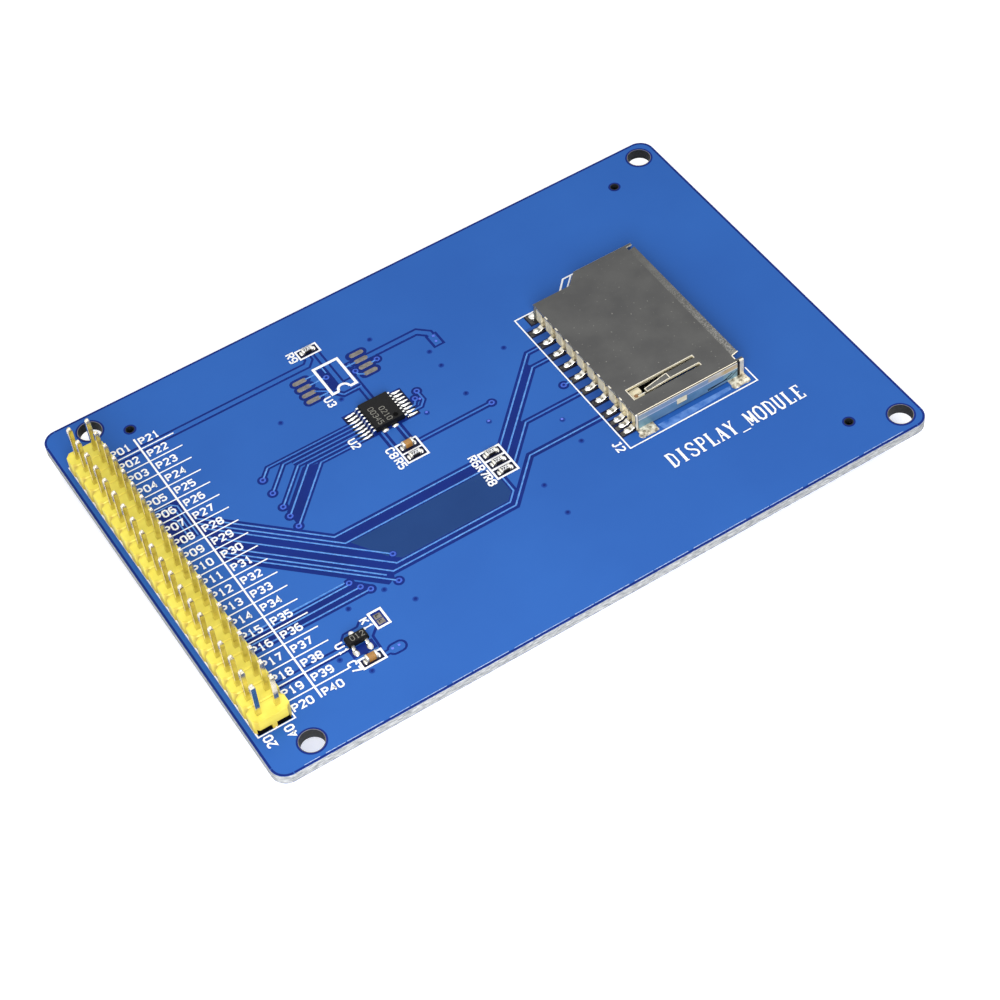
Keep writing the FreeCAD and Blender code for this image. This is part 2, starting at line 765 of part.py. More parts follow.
def card_slider():
    """The push-push slider: a rail beside the card, a foot before it and the pocket of the cam wire."""
    high = slider_z0 + slider_height
    rail = block(slider_x0, slider_end_x, slider_y0, slider_y1, slider_z0, high)
    foot = block(slider_foot_x, slider_foot_x + slider_foot_length, slider_y0, slider_y1 + slider_foot_width,
                 slider_z0, high)
    hook = wire_diameter / 2
    pocket_x = wire_hook_x() - hook - wire_gap
    half = cam_pocket_width / 2
    pocket = block(pocket_x, pocket_x + slider_travel + 2 * (hook + wire_gap), slider_middle_y - half,
                   slider_middle_y + half, high - cam_pocket_depth, high)
    return rail.fuse(foot).cut(pocket).removeSplitter()


def wire_hook_x():
    """Where the cam wire's hooked end stands: at the near end of the slider's pocket."""
    return slider_foot_x + slider_foot_length + cam_pocket_wall


def cam_wire():
    """The bent wire that locks the slider, from its pivot in the boss to its hook in the pocket."""
    pivot = V(wire_pivot_x, arm_middle_y, wire_z)
    bend = V(wire_bend_x, arm_middle_y, wire_z)
    turn = V(wire_turn_x, slider_middle_y, wire_z)
    end = V(wire_hook_x(), slider_middle_y, wire_z)
    down = V(0, 0, -wire_hook_depth)
    path = Part.makePolygon([pivot + down, pivot, bend, turn, end, end + down])
    corners = [V(pivot.x + x, pivot.y + y, (pivot + down).z)
               for x, y in ring_points(wire_diameter / 2, wire_sides)]
    section = Part.makePolygon(corners + corners[:1])
    return path.makePipeShell([section], True, False, 1)


def slider_spring():
    """The coil spring between the rear wall and the slider."""
    start, end = cavity_x0 + spring_end_gap, slider_x0 - spring_end_gap
    length = end - start - spring_wire
    mean = (spring_diameter - spring_wire) / 2
    helix = Part.makeHelix(length / spring_turns, length, mean)
    half = spring_wire / 2
    corners = [V(mean - half, 0, -half), V(mean + half, 0, -half)]
    corners += [V(mean + half, 0, half), V(mean - half, 0, half)]
    section = Part.makePolygon(corners + corners[:1])
    coil = Part.Wire(helix.Edges).makePipeShell([section], True, True)
    coil.rotate(V(0, 0, 0), V(0, 1, 0), 90)
    coil.translate(V(start + half, slider_middle_y, slider_z0 + slider_height / 2))
    return coil


def package_body(x, y, size_x, size_y, height):
    """A moulded chip package with drafted sides, its widest line at the legs."""
    low, high = top_z + package_standoff, top_z + height
    waist = (low + high) / 2

    def ring(inset, z):
        half_x, half_y = size_x / 2 - inset, size_y / 2 - inset
        return [V(x - half_x, y - half_y, z), V(x + half_x, y - half_y, z),
                V(x + half_x, y + half_y, z), V(x - half_x, y + half_y, z)]

    lower = tapered_solid(ring(package_draft, low), ring(0, waist))
    upper = tapered_solid(ring(0, waist), ring(package_draft, high))
    return lower.fuse(upper)


def leg_outline(root, span, height):
    """A gull-wing leg, seen from the side, from the package's waist at root out to span."""
    waist = (package_standoff + height) / 2 + leg_thickness / 2
    knee = root + (span - leg_foot - root) / 2
    upper = [(root, waist), (knee, waist), (span - leg_foot, leg_thickness), (span, leg_thickness)]
    return strip_outline(upper[::-1], leg_thickness)


def touch_chip_body():
    """The touch controller's package, with the dot of its first leg."""
    body = package_body(touch_chip_x, touch_chip_y, touch_chip_width, touch_chip_length, touch_chip_height)
    dot_x = touch_chip_x + touch_chip_width / 2 - chip_dot_inset
    dot_y = touch_chip_y - touch_chip_length / 2 + chip_dot_inset
    place = V(dot_x, dot_y, top_z + touch_chip_height - chip_dot_depth)
    return body.cut(Part.makeCylinder(chip_dot_diameter / 2, chip_dot_depth, place))


def gull_leg(root, span, height, width):
    """A leg that reaches along +X from the middle of its package, standing on z = 0."""
    outline = leg_outline(root, span, height)
    low = min(z for _, z in outline)
    return side_profile([(x, z - low) for x, z in outline], -width / 2, width / 2)


def touch_chip_legs_group():
    """The sixteen gull-wing legs of the touch controller."""
    leg = gull_leg(touch_chip_width / 2, touch_chip_span / 2, touch_chip_height, touch_chip_leg_width)
    legs = []
    for side in (0, 180):
        for i in range(touch_chip_legs):
            y = (i - (touch_chip_legs - 1) / 2) * touch_chip_pitch
            one = leg.copy()
            one.rotate(V(0, 0, 0), V(0, 0, 1), side)
            one.translate(V(touch_chip_x, touch_chip_y + y, top_z))
            legs.append(one)
    return Part.makeCompound(legs)


def regulator_body():
    """The regulator's package."""
    return package_body(regulator_x, regulator_y, regulator_length, regulator_width, regulator_height)


def regulator_legs():
    """The regulator's three legs: two towards the near edge, one behind."""
    leg = gull_leg(regulator_width / 2, regulator_span / 2, regulator_height, regulator_leg_width)
    legs = []
    for turn, x in ((-90, -regulator_leg_spread / 2), (-90, regulator_leg_spread / 2), (90, 0)):
        one = leg.copy()
        one.rotate(V(0, 0, 0), V(0, 0, 1), turn)
        one.translate(V(regulator_x + x, regulator_y, top_z))
        legs.append(one)
    return Part.makeCompound(legs)


def chip_bodies(places, height):
    """The ceramic middles of chip parts."""
    half = chip_length / 2 - chip_cap_length
    return Part.makeCompound([block(x - half, x + half, y - chip_width / 2, y + chip_width / 2,
                                    top_z + chip_cap_lap, top_z + height) for x, y in places])


def chip_caps(places, height):
    """The metal end caps of chip parts."""
    wide = chip_width / 2 + chip_cap_lap
    caps = []
    for x, y in places:
        for side in (-1, 1):
            middle = x + side * (chip_length - chip_cap_length) / 2
            caps.append(block(middle - chip_cap_length / 2, middle + chip_cap_length / 2, y - wide, y + wide,
                              top_z, top_z + height + chip_cap_lap))
    return Part.makeCompound(caps)


pieces = {
    "circuit_board": circuit_board(),
    "header_body": header_body(),
    "header_pins": header_pins(),
    "header_solder": header_solder(),
    "touch_film": touch_plate(0, gasket_z),
    "touch_gasket": touch_gasket(),
    "touch_glass": touch_plate(touch_glass_z, tape_z),
    "touch_tape": touch_tape(),
    "touch_flex": touch_flex(),
    "front_polariser": front_polariser(),
    "lcd_front_glass": lcd_front_glass(),
    "lcd_rear_glass": lcd_rear_glass(),
    "driver_chip": driver_chip(),
    "display_flex": display_flex(),
    "rear_polariser": inner_sheet(rear_polariser_z, polariser_thickness, guide_x0),
    "prism_sheet": inner_sheet(prism_z, prism_thickness, guide_x0),
    "diffuser_sheet": inner_sheet(diffuser_z, diffuser_thickness, guide_x0),
    "light_guide": inner_sheet(guide_z, light_guide_thickness, guide_x0),
    "reflector_sheet": inner_sheet(reflector_z, reflector_thickness, led_x0 + led_strip_width),
    "backlight_leds": backlight_leds(),
    "led_strip": led_strip(),
    "backlight_frame": backlight_frame(),
    "foam_tape": foam_tape(),
    "card_socket_cover": card_socket_cover(),
    "card_socket_base": card_socket_base(),
    "card_contacts": card_contacts(),
    "switch_contacts": switch_contacts(),
    "card_slider": card_slider(),
    "slider_spring": slider_spring(),
    "cam_wire": cam_wire(),
    "touch_chip_body": touch_chip_body(),
    "touch_chip_legs": touch_chip_legs_group(),
    "regulator_body": regulator_body(),
    "regulator_legs": regulator_legs(),
    "resistor_bodies": chip_bodies(resistor_places, resistor_height),
    "resistor_caps": chip_caps(resistor_places, resistor_height),
    "capacitor_bodies": chip_bodies(capacitor_places, capacitor_height),
    "capacitor_caps": chip_caps(capacitor_places, capacitor_height),
}

os.makedirs("parts", exist_ok=True)
for name, shape in pieces.items():
    shape.exportStep("parts/" + name + ".step")
    solids = shape.Solids
    print(name, len(solids), "solids", round(sum(s.Volume for s in solids), 3), "mm3", shape.isValid())
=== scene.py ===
import math

import bpy
from mathutils import Matrix, Vector


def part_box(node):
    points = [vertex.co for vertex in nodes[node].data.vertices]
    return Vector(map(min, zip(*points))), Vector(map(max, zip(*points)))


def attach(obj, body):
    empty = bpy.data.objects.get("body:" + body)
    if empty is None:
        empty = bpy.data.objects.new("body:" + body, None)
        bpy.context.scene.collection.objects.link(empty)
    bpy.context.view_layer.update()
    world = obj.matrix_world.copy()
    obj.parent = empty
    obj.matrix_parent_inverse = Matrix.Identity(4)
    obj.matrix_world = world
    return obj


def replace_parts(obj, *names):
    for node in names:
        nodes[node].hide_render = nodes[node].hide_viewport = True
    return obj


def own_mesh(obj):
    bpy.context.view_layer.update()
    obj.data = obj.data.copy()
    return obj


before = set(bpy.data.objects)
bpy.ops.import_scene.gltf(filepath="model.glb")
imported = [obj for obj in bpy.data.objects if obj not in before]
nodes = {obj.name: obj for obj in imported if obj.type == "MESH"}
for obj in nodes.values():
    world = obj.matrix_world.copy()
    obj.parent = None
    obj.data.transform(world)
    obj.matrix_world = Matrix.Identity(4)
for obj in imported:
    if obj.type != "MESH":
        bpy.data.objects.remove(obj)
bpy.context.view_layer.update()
scene = bpy.context.scene
MM = 0.001


# The view of the photograph: from above the long near edge, turned towards the pin header.
# A long lens, tilted by a few degrees, as the picture was taken.
def at(x, y, z):
    """A place given in millimetres."""
    return Vector((x, y, z)) * MM


view_turn = math.radians(-27.281)
view_height = math.radians(50.505)
view_tilt = math.radians(-6.487)
outward = Vector((math.sin(view_turn) * math.cos(view_height),
                  -math.cos(view_turn) * math.cos(view_height), math.sin(view_height)))
looked_at = at(-4.172, -11.578, 5.6)
camera_distance = 314.88
bpy.ops.object.camera_add(location=looked_at + outward * camera_distance * MM)
camera = bpy.context.object
camera.name = "photo_camera"
camera.data.sensor_width = 36
camera.data.lens = 90.39
camera.data.clip_start = 0.01
camera.rotation_euler = (outward.to_track_quat("Z", "Y").to_matrix()
                         @ Matrix.Rotation(view_tilt, 3, "Z")).to_euler()
scene.camera = camera
scene.view_settings.view_transform = "Standard"


# The table and the studio: a pale matt table, a wide soft lamp overhead and one at the near left.
# The table and the room look white to the camera and in reflections, and stay plain as a light.
def paint(code):
    """A colour as written on screen, turned to the linear numbers that a shader takes."""
    tones = [int(code[i:i + 2], 16) / 255 for i in (0, 2, 4)]
    return tuple(t / 12.92 if t <= 0.04045 else ((t + 0.055) / 1.055) ** 2.4 for t in tones) + (1.0,)


def new_finish(name):
    """An empty material with its Principled shader."""
    finish = bpy.data.materials.new(name)
    finish.use_nodes = True
    return finish, finish.node_tree, finish.node_tree.nodes["Principled BSDF"]


def put_on(piece, finish):
    """Gives a piece one material."""
    piece.data.materials.clear()
    piece.data.materials.append(finish)


def feed(tree, value, socket):
    """Links one socket into another, or writes a plain value on it."""
    if isinstance(value, bpy.types.NodeSocket):
        tree.links.new(value, socket)
    else:
        socket.default_value = value


def reckon(tree, operation, first, second=0.0):
    """One step of arithmetic in a material, on sockets or plain numbers."""
    node = tree.nodes.new("ShaderNodeMath")
    node.operation = operation
    feed(tree, first, node.inputs[0])
    feed(tree, second, node.inputs[1])
    return node.outputs[0]


def share_of(tree, source, low, high, start=0.0, end=1.0):
    """Turns a value between two limits into a share, held at its ends."""
    node = tree.nodes.new("ShaderNodeMapRange")
    for title, value in (("Value", source), ("From Min", low), ("From Max", high), ("To Min", start),
                         ("To Max", end)):
        feed(tree, value, node.inputs[title])
    return node.outputs["Result"]


table_glow, room_glow = 0.42, 0.44
bpy.ops.mesh.primitive_plane_add(size=6, location=(0, 0, -0.00003))
table = bpy.context.object
table.name = "table"
table_finish, tree, shader = new_finish("pale_table")
shader.inputs["Base Color"].default_value = paint("F4F4F4")
shader.inputs["Roughness"].default_value = 0.8
shader.inputs["Emission Color"].default_value = (1, 1, 1, 1)
rays = tree.nodes.new("ShaderNodeLightPath").outputs
seen = reckon(tree, "MAXIMUM", rays["Is Camera Ray"], rays["Is Glossy Ray"])
feed(tree, reckon(tree, "MULTIPLY", seen, table_glow), shader.inputs["Emission Strength"])
put_on(table, table_finish)

world = scene.world or bpy.data.worlds.new("studio")
scene.world = world
world.use_nodes = True
tree = world.node_tree
tree.nodes.clear()
rays = tree.nodes.new("ShaderNodeLightPath").outputs
seen = reckon(tree, "MAXIMUM", rays["Is Camera Ray"], rays["Is Transmission Ray"])
seen = reckon(tree, "MAXIMUM", seen, rays["Is Glossy Ray"])
background = tree.nodes.new("ShaderNodeBackground")
background.inputs["Color"].default_value = (1, 1, 1, 1)
feed(tree, share_of(tree, seen, 0.0, 1.0, room_glow), background.inputs["Strength"])
feed(tree, background.outputs[0], tree.nodes.new("ShaderNodeOutputWorld").inputs["Surface"])

for name, place, size, power in (("overhead_lamp", (80, 110, 420), 0.36, 0.6),
                                 ("near_lamp", (-105, -200, 160), 0.16, 0.68)):
    bpy.ops.object.light_add(type="AREA", location=at(*place))
    lamp = bpy.context.object
    lamp.name = name
    lamp.data.size = size
    lamp.data.energy = power
    lamp.rotation_euler = (lamp.location - at(0, 0, 0)).to_track_quat("Z", "Y").to_euler()


# The laminate: green-grey glass weave inside, blue solder mask on both faces.
# It is routed to size, so the cut edge shows pale, speckled laminate under the thin blue film.
TOP = 5.6
THICK = 1.5
BOARD_X, BOARD_Y = 47.65, 32.3


def new_group(name, inputs, outputs):
    """An empty shader node group with its sockets: (name, type, value) for each input."""
    group = bpy.data.node_groups.new(name, "ShaderNodeTree")
    for title, kind, value in inputs:
        group.interface.new_socket(title, in_out="INPUT", socket_type=kind).default_value = value
    for title, kind in outputs:
        group.interface.new_socket(title, in_out="OUTPUT", socket_type=kind)
    return group, group.nodes.new("NodeGroupInput"), group.nodes.new("NodeGroupOutput")


def own_place(tree):
    """Where a point lies in the part's own frame."""
    return tree.nodes.new("ShaderNodeTexCoord").outputs["Object"]


def split_up(tree, place):
    """The X, Y and Z of a place."""
    node = tree.nodes.new("ShaderNodeSeparateXYZ")
    feed(tree, place, node.inputs[0])
    return node.outputs


def noise(tree, place, scale, detail):
    """The strength of a cloud of noise."""
    node = tree.nodes.new("ShaderNodeTexNoise")
    node.inputs["Detail"].default_value = detail
    feed(tree, place, node.inputs["Vector"])
    feed(tree, scale, node.inputs["Scale"])
    return node.outputs["Fac"]


def mixed(tree, share, under, over):
    """Lays one colour over another by a share."""
    node = tree.nodes.new("ShaderNodeMix")
    node.data_type = "RGBA"
    for title, value in (("Factor", share), ("A", under), ("B", over)):
        feed(tree, value, node.inputs[title])
    return node.outputs["Result"]


mottle, entry, leave = new_group(
    "mottle",
    [("Colour", "NodeSocketColor", (1, 1, 1, 1)), ("Other Colour", "NodeSocketColor", (0, 0, 0, 1)),
     ("Scale", "NodeSocketFloat", 200.0), ("Amount", "NodeSocketFloat", 0.5)],
    [("Colour", "NodeSocketColor")])
cloud = noise(mottle, own_place(mottle), entry.outputs["Scale"], 4)
spread = share_of(mottle, cloud, 0.35, 0.65, 0.0, entry.outputs["Amount"])
feed(mottle, mixed(mottle, spread, entry.outputs["Colour"], entry.outputs["Other Colour"]),
     leave.inputs["Colour"])

grain, entry, leave = new_group(
    "grain", [("Scale", "NodeSocketFloat", 1000.0), ("Depth", "NodeSocketFloat", 0.2)],
    [("Normal", "NodeSocketVector")])
relief = grain.nodes.new("ShaderNodeBump")
relief.inputs["Distance"].default_value = 0.00005
feed(grain, noise(grain, own_place(grain), entry.outputs["Scale"], 3), relief.inputs["Height"])
feed(grain, entry.outputs["Depth"], relief.inputs["Strength"])
feed(grain, relief.outputs["Normal"], leave.inputs["Normal"])


def use_group(tree, group, **values):
    """Places a shared effect in a material, with the material's own values."""
    node = tree.nodes.new("ShaderNodeGroup")
    node.node_tree = group
    for title, value in values.items():
        node.inputs[title.replace("_", " ")].default_value = value
    return node


def toned(name, colour, other, metal=0.0, rough=0.4, blotch=900, amount=0.6, grit=4000,
          depth=0.15, gloss=0.5):
    """A finish with a fine grain, and its mottled tone of two near colours, which isn't linked yet.
    Blotch and grit are the scales of the mottle and of the grain."""
    finish, tree, shader = new_finish(name)
    tone = use_group(tree, mottle, Colour=paint(colour), Other_Colour=paint(other), Scale=blotch,
                     Amount=amount)
    relief = use_group(tree, grain, Scale=grit, Depth=depth)
    feed(tree, relief.outputs["Normal"], shader.inputs["Normal"])
    shader.inputs["Metallic"].default_value = metal
    shader.inputs["Roughness"].default_value = rough
    shader.inputs["Specular IOR Level"].default_value = gloss
    return finish, tree, shader, tone.outputs["Colour"]


def surface(name, colour, other, **values):
    """A moulded, printed or plated surface: two near colours, mottled, with a fine grain."""
    finish, tree, shader, tone = toned(name, colour, other, **values)
    feed(tree, tone, shader.inputs["Base Color"])
    return finish


MASK_BLUE, MASK_BLUE_LOW = "2D63B4", "285BAB"
board_finish, tree, shader, tone = toned("blue_mask_on_laminate", MASK_BLUE, MASK_BLUE_LOW, blotch=45,
                                         amount=0.7, grit=900, depth=0.06, gloss=0.1)
place = own_place(tree)
layers = tree.nodes.new("ShaderNodeMapping")
layers.inputs["Scale"].default_value = (0.35, 0.35, 2.6)
feed(tree, place, layers.inputs["Vector"])
cloth = share_of(tree, noise(tree, layers.outputs["Vector"], 4200.0, 2), 0.34, 0.66)
edge = mixed(tree, cloth, paint("C8CACC"), paint("7E8288"))
from_middle = reckon(tree, "SUBTRACT", split_up(tree, place)["Z"], (TOP - THICK / 2) * MM)
inside = reckon(tree, "LESS_THAN", reckon(tree, "ABSOLUTE", from_middle), (THICK / 2 - 0.04) * MM)
feed(tree, mixed(tree, inside, tone, edge), shader.inputs["Base Color"])
feed(tree, share_of(tree, inside, 0.0, 1.0, 0.34, 0.8), shader.inputs["Roughness"])
put_on(nodes["circuit_board"], board_finish)


# Copper under the mask: where it is etched away the mask looks navy, and each track stands in such a gap.
# All of it is drawn as thin raised patches with sloped sides, as the mask lies over the copper's edge.
print_drift = -0.12
pin_pitch, pin_rows = 2.54, 20


def patch(corners, z, drift):
    """One face with these corners, in millimetres, moved along Y by the drift of the print."""
    bpy.ops.mesh.primitive_circle_add(vertices=len(corners), radius=MM, fill_type="NGON")
    piece = bpy.context.object
    for vertex, (x, y, *lift) in zip(piece.data.vertices, corners):
        vertex.co = at(x, y + drift, z + sum(lift))
    piece.location = (0, 0, 0)
    return piece


def lane(points, width):
    """The outline of a lane of even width along a bent line."""
    left, right = [], []
    closed = points[0] == points[-1]
    for i, (x, y) in enumerate(points):
        here = Vector((x, y))
        before = (here - Vector(points[i - 1])).normalized() if i else None
        after = (Vector(points[i + 1]) - here).normalized() if i < len(points) - 1 else None
        if closed and i == 0:
            before = (here - Vector(points[-2])).normalized()
        if closed and i == len(points) - 1:
            after = (Vector(points[1]) - here).normalized()
        first, last = before or after, after or before
        normal = Vector((-(first + last).y, (first + last).x)).normalized()
        reach = width / 2 / max(normal.dot(Vector((-first.y, first.x))), 0.5)
        left.append(tuple(here + normal * reach))
        right.append(tuple(here - normal * reach))
    return left + right[::-1]


def lanes(runs, width):
    """The outlines of many lanes of one width."""
    return [lane(run, width) for run in runs]


def disc(x, y, radius, sides=20):
    """The outline of a round spot."""
    return [(x + radius * math.cos(2 * math.pi * i / sides), y + radius * math.sin(2 * math.pi * i / sides))
            for i in range(sides)]


def discs(places, radius, sides=20):
    """The outlines of many round spots of one size."""
    return [disc(x, y, radius, sides) for x, y in places]


def oval(x0, x1, y, width, sides=8):
    """The outline of a bar with round ends, along X."""
    half = width / 2
    right = [(x1 - half + half * math.sin(math.pi * i / sides), y - half * math.cos(math.pi * i / sides))
             for i in range(sides + 1)]
    left = [(x0 + half - half * math.sin(math.pi * i / sides), y + half * math.cos(math.pi * i / sides))
            for i in range(sides + 1)]
    return right + left


def box(x0, x1, y0, y1):
    """The outline of a rectangle."""
    return [(x0, y0), (x1, y0), (x1, y1), (x0, y1)]


def merged(pieces):
    """Joins pieces to one, which is left selected and active."""
    bpy.ops.object.select_all(action="DESELECT")
    for piece in pieces:
        piece.select_set(True)
    bpy.context.view_layer.objects.active = pieces[0]
    if len(pieces) > 1:
        bpy.ops.object.join()
    return bpy.context.object


def edit_all():
    """Opens the active piece for editing with all of it selected."""
    bpy.ops.object.mode_set(mode="EDIT")
    bpy.ops.mesh.select_all(action="SELECT")


def edit_done():
    """Closes the editing."""
    bpy.ops.object.mode_set(mode="OBJECT")


def fitted(piece, name, finish):
    """Names a finished piece, gives it its material and lets it ride on the board."""
    piece.name = name
    put_on(piece, finish)
    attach(piece, "module")
    return piece


def printed(name, outlines, height, slope, finish, slot="board", rise=0.003, step=0.00012,
            drift=print_drift, face=TOP, way=1):
    """Joins many flat faces to one piece, and raises each by a sloped step of its own."""
    piece = merged([patch(outline, face + way * (height + i * step), drift)
                    for i, outline in enumerate(outlines)])
    edit_all()
    bpy.ops.mesh.normals_make_consistent(inside=False)
    edit_done()
    for polygon in piece.data.polygons:
        if polygon.normal.z * way < 0:
            polygon.flip()
    edit_all()
    bpy.ops.mesh.inset(use_individual=True, thickness=slope * MM, depth=rise * MM)
    edit_done()
    return fitted(piece, name, finish)


gap_finish = surface("bare_laminate_under_mask", "132C7E", "0F236A", rough=0.32, blotch=150, grit=1500,
                     depth=0.12, gloss=0.06)
# Painted sheen: the lighter, strongly mottled track finish stands for glints on the raised tracks; the plain
# copy below has none.
sheen_track_finish = surface("track_under_mask", "5C97DE", "3F7CCB", rough=0.28, blotch=1600, amount=1.0,
                       grit=5000, depth=0.25, gloss=0.3)
plain_track_finish = surface("far_track_under_mask", "3C74C6", "3368B8", rough=0.3, blotch=300, grit=900,
                           depth=0.1, gloss=0.15)
pour_finish = surface("copper_under_mask", MASK_BLUE, MASK_BLUE_LOW, rough=0.34, blotch=45, grit=900,
                      depth=0.06, gloss=0.1)

top_run = [(-42.0, 22.88), (-12.75, 22.88), (-12.03, 23.6), (-12.03, 24.3)]
drop_run = [(-10.62, 24.3), (-10.62, 17.3)]
stub_run = [(-5.6, 19.52), (2.15, 19.52), (3.42, 18.3), (3.42, 17.6)]
post_run = [(-8.8, 15.6), (-8.8, 12.4)]
link_run = [(-14.2, 18.3), (-12.6, 17.2), (-11.25, 15.52), (-8.6, 15.52)]
chip_left_runs = [
    [(-12.6, 10.43), (-25.6, 10.43), (-27.1, 8.94)], [(-12.6, 9.78), (-23.62, 9.78), (-27.1, 6.3)],
    [(-12.6, 9.13), (-22.6, 9.13)], [(-12.6, 8.48), (-22.18, 8.48), (-27.1, 3.56)],
    [(-12.6, 7.83), (-21.02, 7.83), (-27.1, 1.75)], [(-12.6, 7.2), (-19.5, 7.2), (-27.0, -0.3)]]
chip_right_runs = [[(-5.6, 7.8), (-4.1, 7.8), (-3.25, 8.65), (-3.25, 10.3)],
                   [(-5.6, 8.45), (-4.65, 8.55), (-4.1, 9.3)]]
chip_down_runs = [[(-10.6, 7.0), (-10.6, 3.6)], [(-8.2, 7.0), (-8.2, 3.6)]]
middle_run = [(-7.6, 2.93), (3.6, 2.95)]
bundle_runs = [
    [(-37.2, 8.55), (-24.2, -4.45), (-2.8, -4.45)], [(-37.2, 7.5), (-23.6, -6.1), (-2.8, -6.1)],
    [(-37.2, 6.6), (-19.6, -11.0)],
    [(-37.2, 4.8), (-19.9, -12.5), (-3.3, -12.5), (-1.95, -11.15), (-1.95, -8.4)],
    [(-37.2, 2.95), (-20.9, -13.35), (-3.0, -13.35), (2.85, -7.5), (14.1, -7.5)],
    [(-37.2, 1.9), (-21.9, -13.4)], [(-37.2, 1.0), (-21.1, -15.0)]]
card_runs = [[(0.5, -4.05), (12.05, 7.5), (14.1, 7.5)], [(0.5, -5.7), (11.3, 5.05), (14.1, 5.05)],
             [(0.5, -7.4), (5.45, -2.45), (14.1, -2.45)]]
header_runs = [[(-41.3, -11.45), (-26.8, -11.45)], [(-41.3, -12.05), (-26.4, -12.0)],
               [(-41.3, -13.1), (-25.5, -13.1)], [(-41.3, -14.05), (-24.6, -14.1)]]
supply_run = [(-41.3, -20.1), (-31.3, -20.1)]
ringed_vias = [(-27.1, 8.94), (-27.1, 6.3), (-27.1, 3.56), (-27.1, 1.75), (-27.0, -0.3), (-3.25, 10.4),
               (-4.1, 9.4), (-4.6, 18.4), (-11.7, 19.5), (-8.0, 18.2), (3.65, 2.95), (-19.6, -11.0),
               (-21.1, -15.0), (-26.35, -11.8), (-25.5, -13.1), (-24.6, -14.1), (12.9, 0.0)]
left_pad_y = (20.85, 19.58, 18.3, 17.05)

gaps = [
    [(-37.6, 9.3), (-37.2, 9.3), (-24.0, -3.95), (-3.0, -3.95), (-3.0, -8.8), (-1.45, -8.8), (-1.45, -11.35),
     (-3.0, -13.0), (-20.7, -13.0), (-21.3, -14.3), (-22.4, -14.85), (-37.6, 0.4)],
    [(-41.4, -11.65), (-26.9, -11.65), (-26.4, -11.1), (-24.2, -13.5), (-24.6, -14.55), (-41.4, -14.55)],
    [(0.3, -4.3), (10.9, 6.3), (11.3, 5.2), (0.3, -6.0)],
    [(0.3, -6.0), (4.9, -1.4), (5.3, -2.6), (0.3, -7.6)],
    [(-21.9, 7.83), (-27.1, 2.6), (-27.1, 1.75), (-20.9, 7.83)],
    [(-20.9, 7.5), (-27.0, 1.4), (-27.0, -0.3), (-19.5, 7.2)],
    [(-13.6, 6.8), (-4.75, 6.8), (-4.75, 12.3), (-13.6, 12.3)],
    [(-12.45, 21.3), (-10.95, 21.3), (-10.95, 17.2), (-12.45, 16.9)],
    box(-41.4, -37.6, 5.8, 12.6)]
gaps += [lane(top_run, 1.25), lane(drop_run, 1.15), lane(stub_run, 1.3), lane(post_run, 1.0),
         lane(link_run, 0.95), lane(middle_run, 0.95), lane(bundle_runs[4], 1.1), lane(bundle_runs[3], 1.0)]
gaps += lanes(card_runs, 0.95) + lanes(chip_left_runs + chip_right_runs, 0.8)
gaps += lanes(chip_down_runs, 1.05)
gaps += [lane([(-8.4, 20.2), (-8.4, 12.6)], 0.28), lane([(-8.9, 20.1), (-7.4, 20.1)], 0.3),
         lane([(-8.9, 19.1), (-7.4, 19.1)], 0.3), lane([(-10.2, 17.6), (-8.4, 17.6)], 0.3),
         lane(supply_run, 1.25), box(2.6, 4.35, 15.55, 18.05), oval(-27.8, -25.1, -23.55, 1.85),
         lane([(-28.4, -23.55), (-27.5, -23.55)], 0.9),
         lane([(-32.4, -19.7), (-30.9, -18.15), (-28.9, -18.1), (-28.3, -17.55), (-27.1, -17.55)], 0.3),
         lane([(-26.9, -19.4), (-28.0, -20.4), (-28.1, -22.5)], 0.35),
         lane([(-29.95, -20.6), (-29.95, -22.3)], 0.5),
         box(-31.65, -30.2, -22.1, -20.6), box(-29.8, -28.3, -22.1, -20.6)]
gaps += [box(-12.8, -10.0, 24.3, 25.7), box(-10.3, -7.55, 0.55, 1.95), box(-10.3, -7.55, 2.15, 3.65),
         box(-2.4, 0.4, -5.1, -3.75), box(-2.4, 0.4, -6.75, -5.4), box(-2.4, 0.4, -8.35, -7.0),
         box(-26.75, -25.35, -19.7, -17.45), box(-31.2, -28.4, -23.95, -22.75)]
gaps += [oval(-16.45, -13.4, y, 1.5) for y in left_pad_y] + [oval(-7.95, -4.85, y, 1.5) for y in left_pad_y]
gaps += [disc(x, y, 0.74) for x, y in ringed_vias if (x, y) != (-19.6, -11.0)]
printed("etched_gaps", gaps, 0.004, 0.03, gap_finish, rise=0.004)

rim = [lane([(-BOARD_X + 2.2, side * (BOARD_Y - 0.16)), (BOARD_X - 2.2, side * (BOARD_Y - 0.16))], 0.3)
       for side in (-1, 1)]
rim += [lane([(side * (BOARD_X - 0.16), -BOARD_Y + 2.2), (side * (BOARD_X - 0.16), BOARD_Y - 2.2)], 0.3)
        for side in (-1, 1)]
for side_x, side_y, turn in ((1, 1, 0), (-1, 1, 90), (-1, -1, 180), (1, -1, 270)):
    arc = [math.radians(turn + 90 * i / 8) for i in range(9)]
    middle_x, middle_y = side_x * (BOARD_X - 2.1), side_y * (BOARD_Y - 2.1)
    rim.append(lane([(middle_x + 1.94 * math.cos(a), middle_y + 1.94 * math.sin(a)) for a in arc], 0.3))
printed("etched_rim", rim, 0.003, 0.02, gap_finish, rise=0.004, drift=0.0)
dashes = [lane([(-44.0 + 2.9 * i, -31.93), (-41.9 + 2.9 * i + 0.6 * (i % 3), -31.93)], 0.09)
          for i in range(30)]
glint_finish = surface("mask_rim_glint", "B9CDEC", "6F97D8", rough=0.3, blotch=2600, amount=1.0)
printed("rim_glint", dashes, 0.01, 0.02, glint_finish, rise=0.004, drift=0.0)
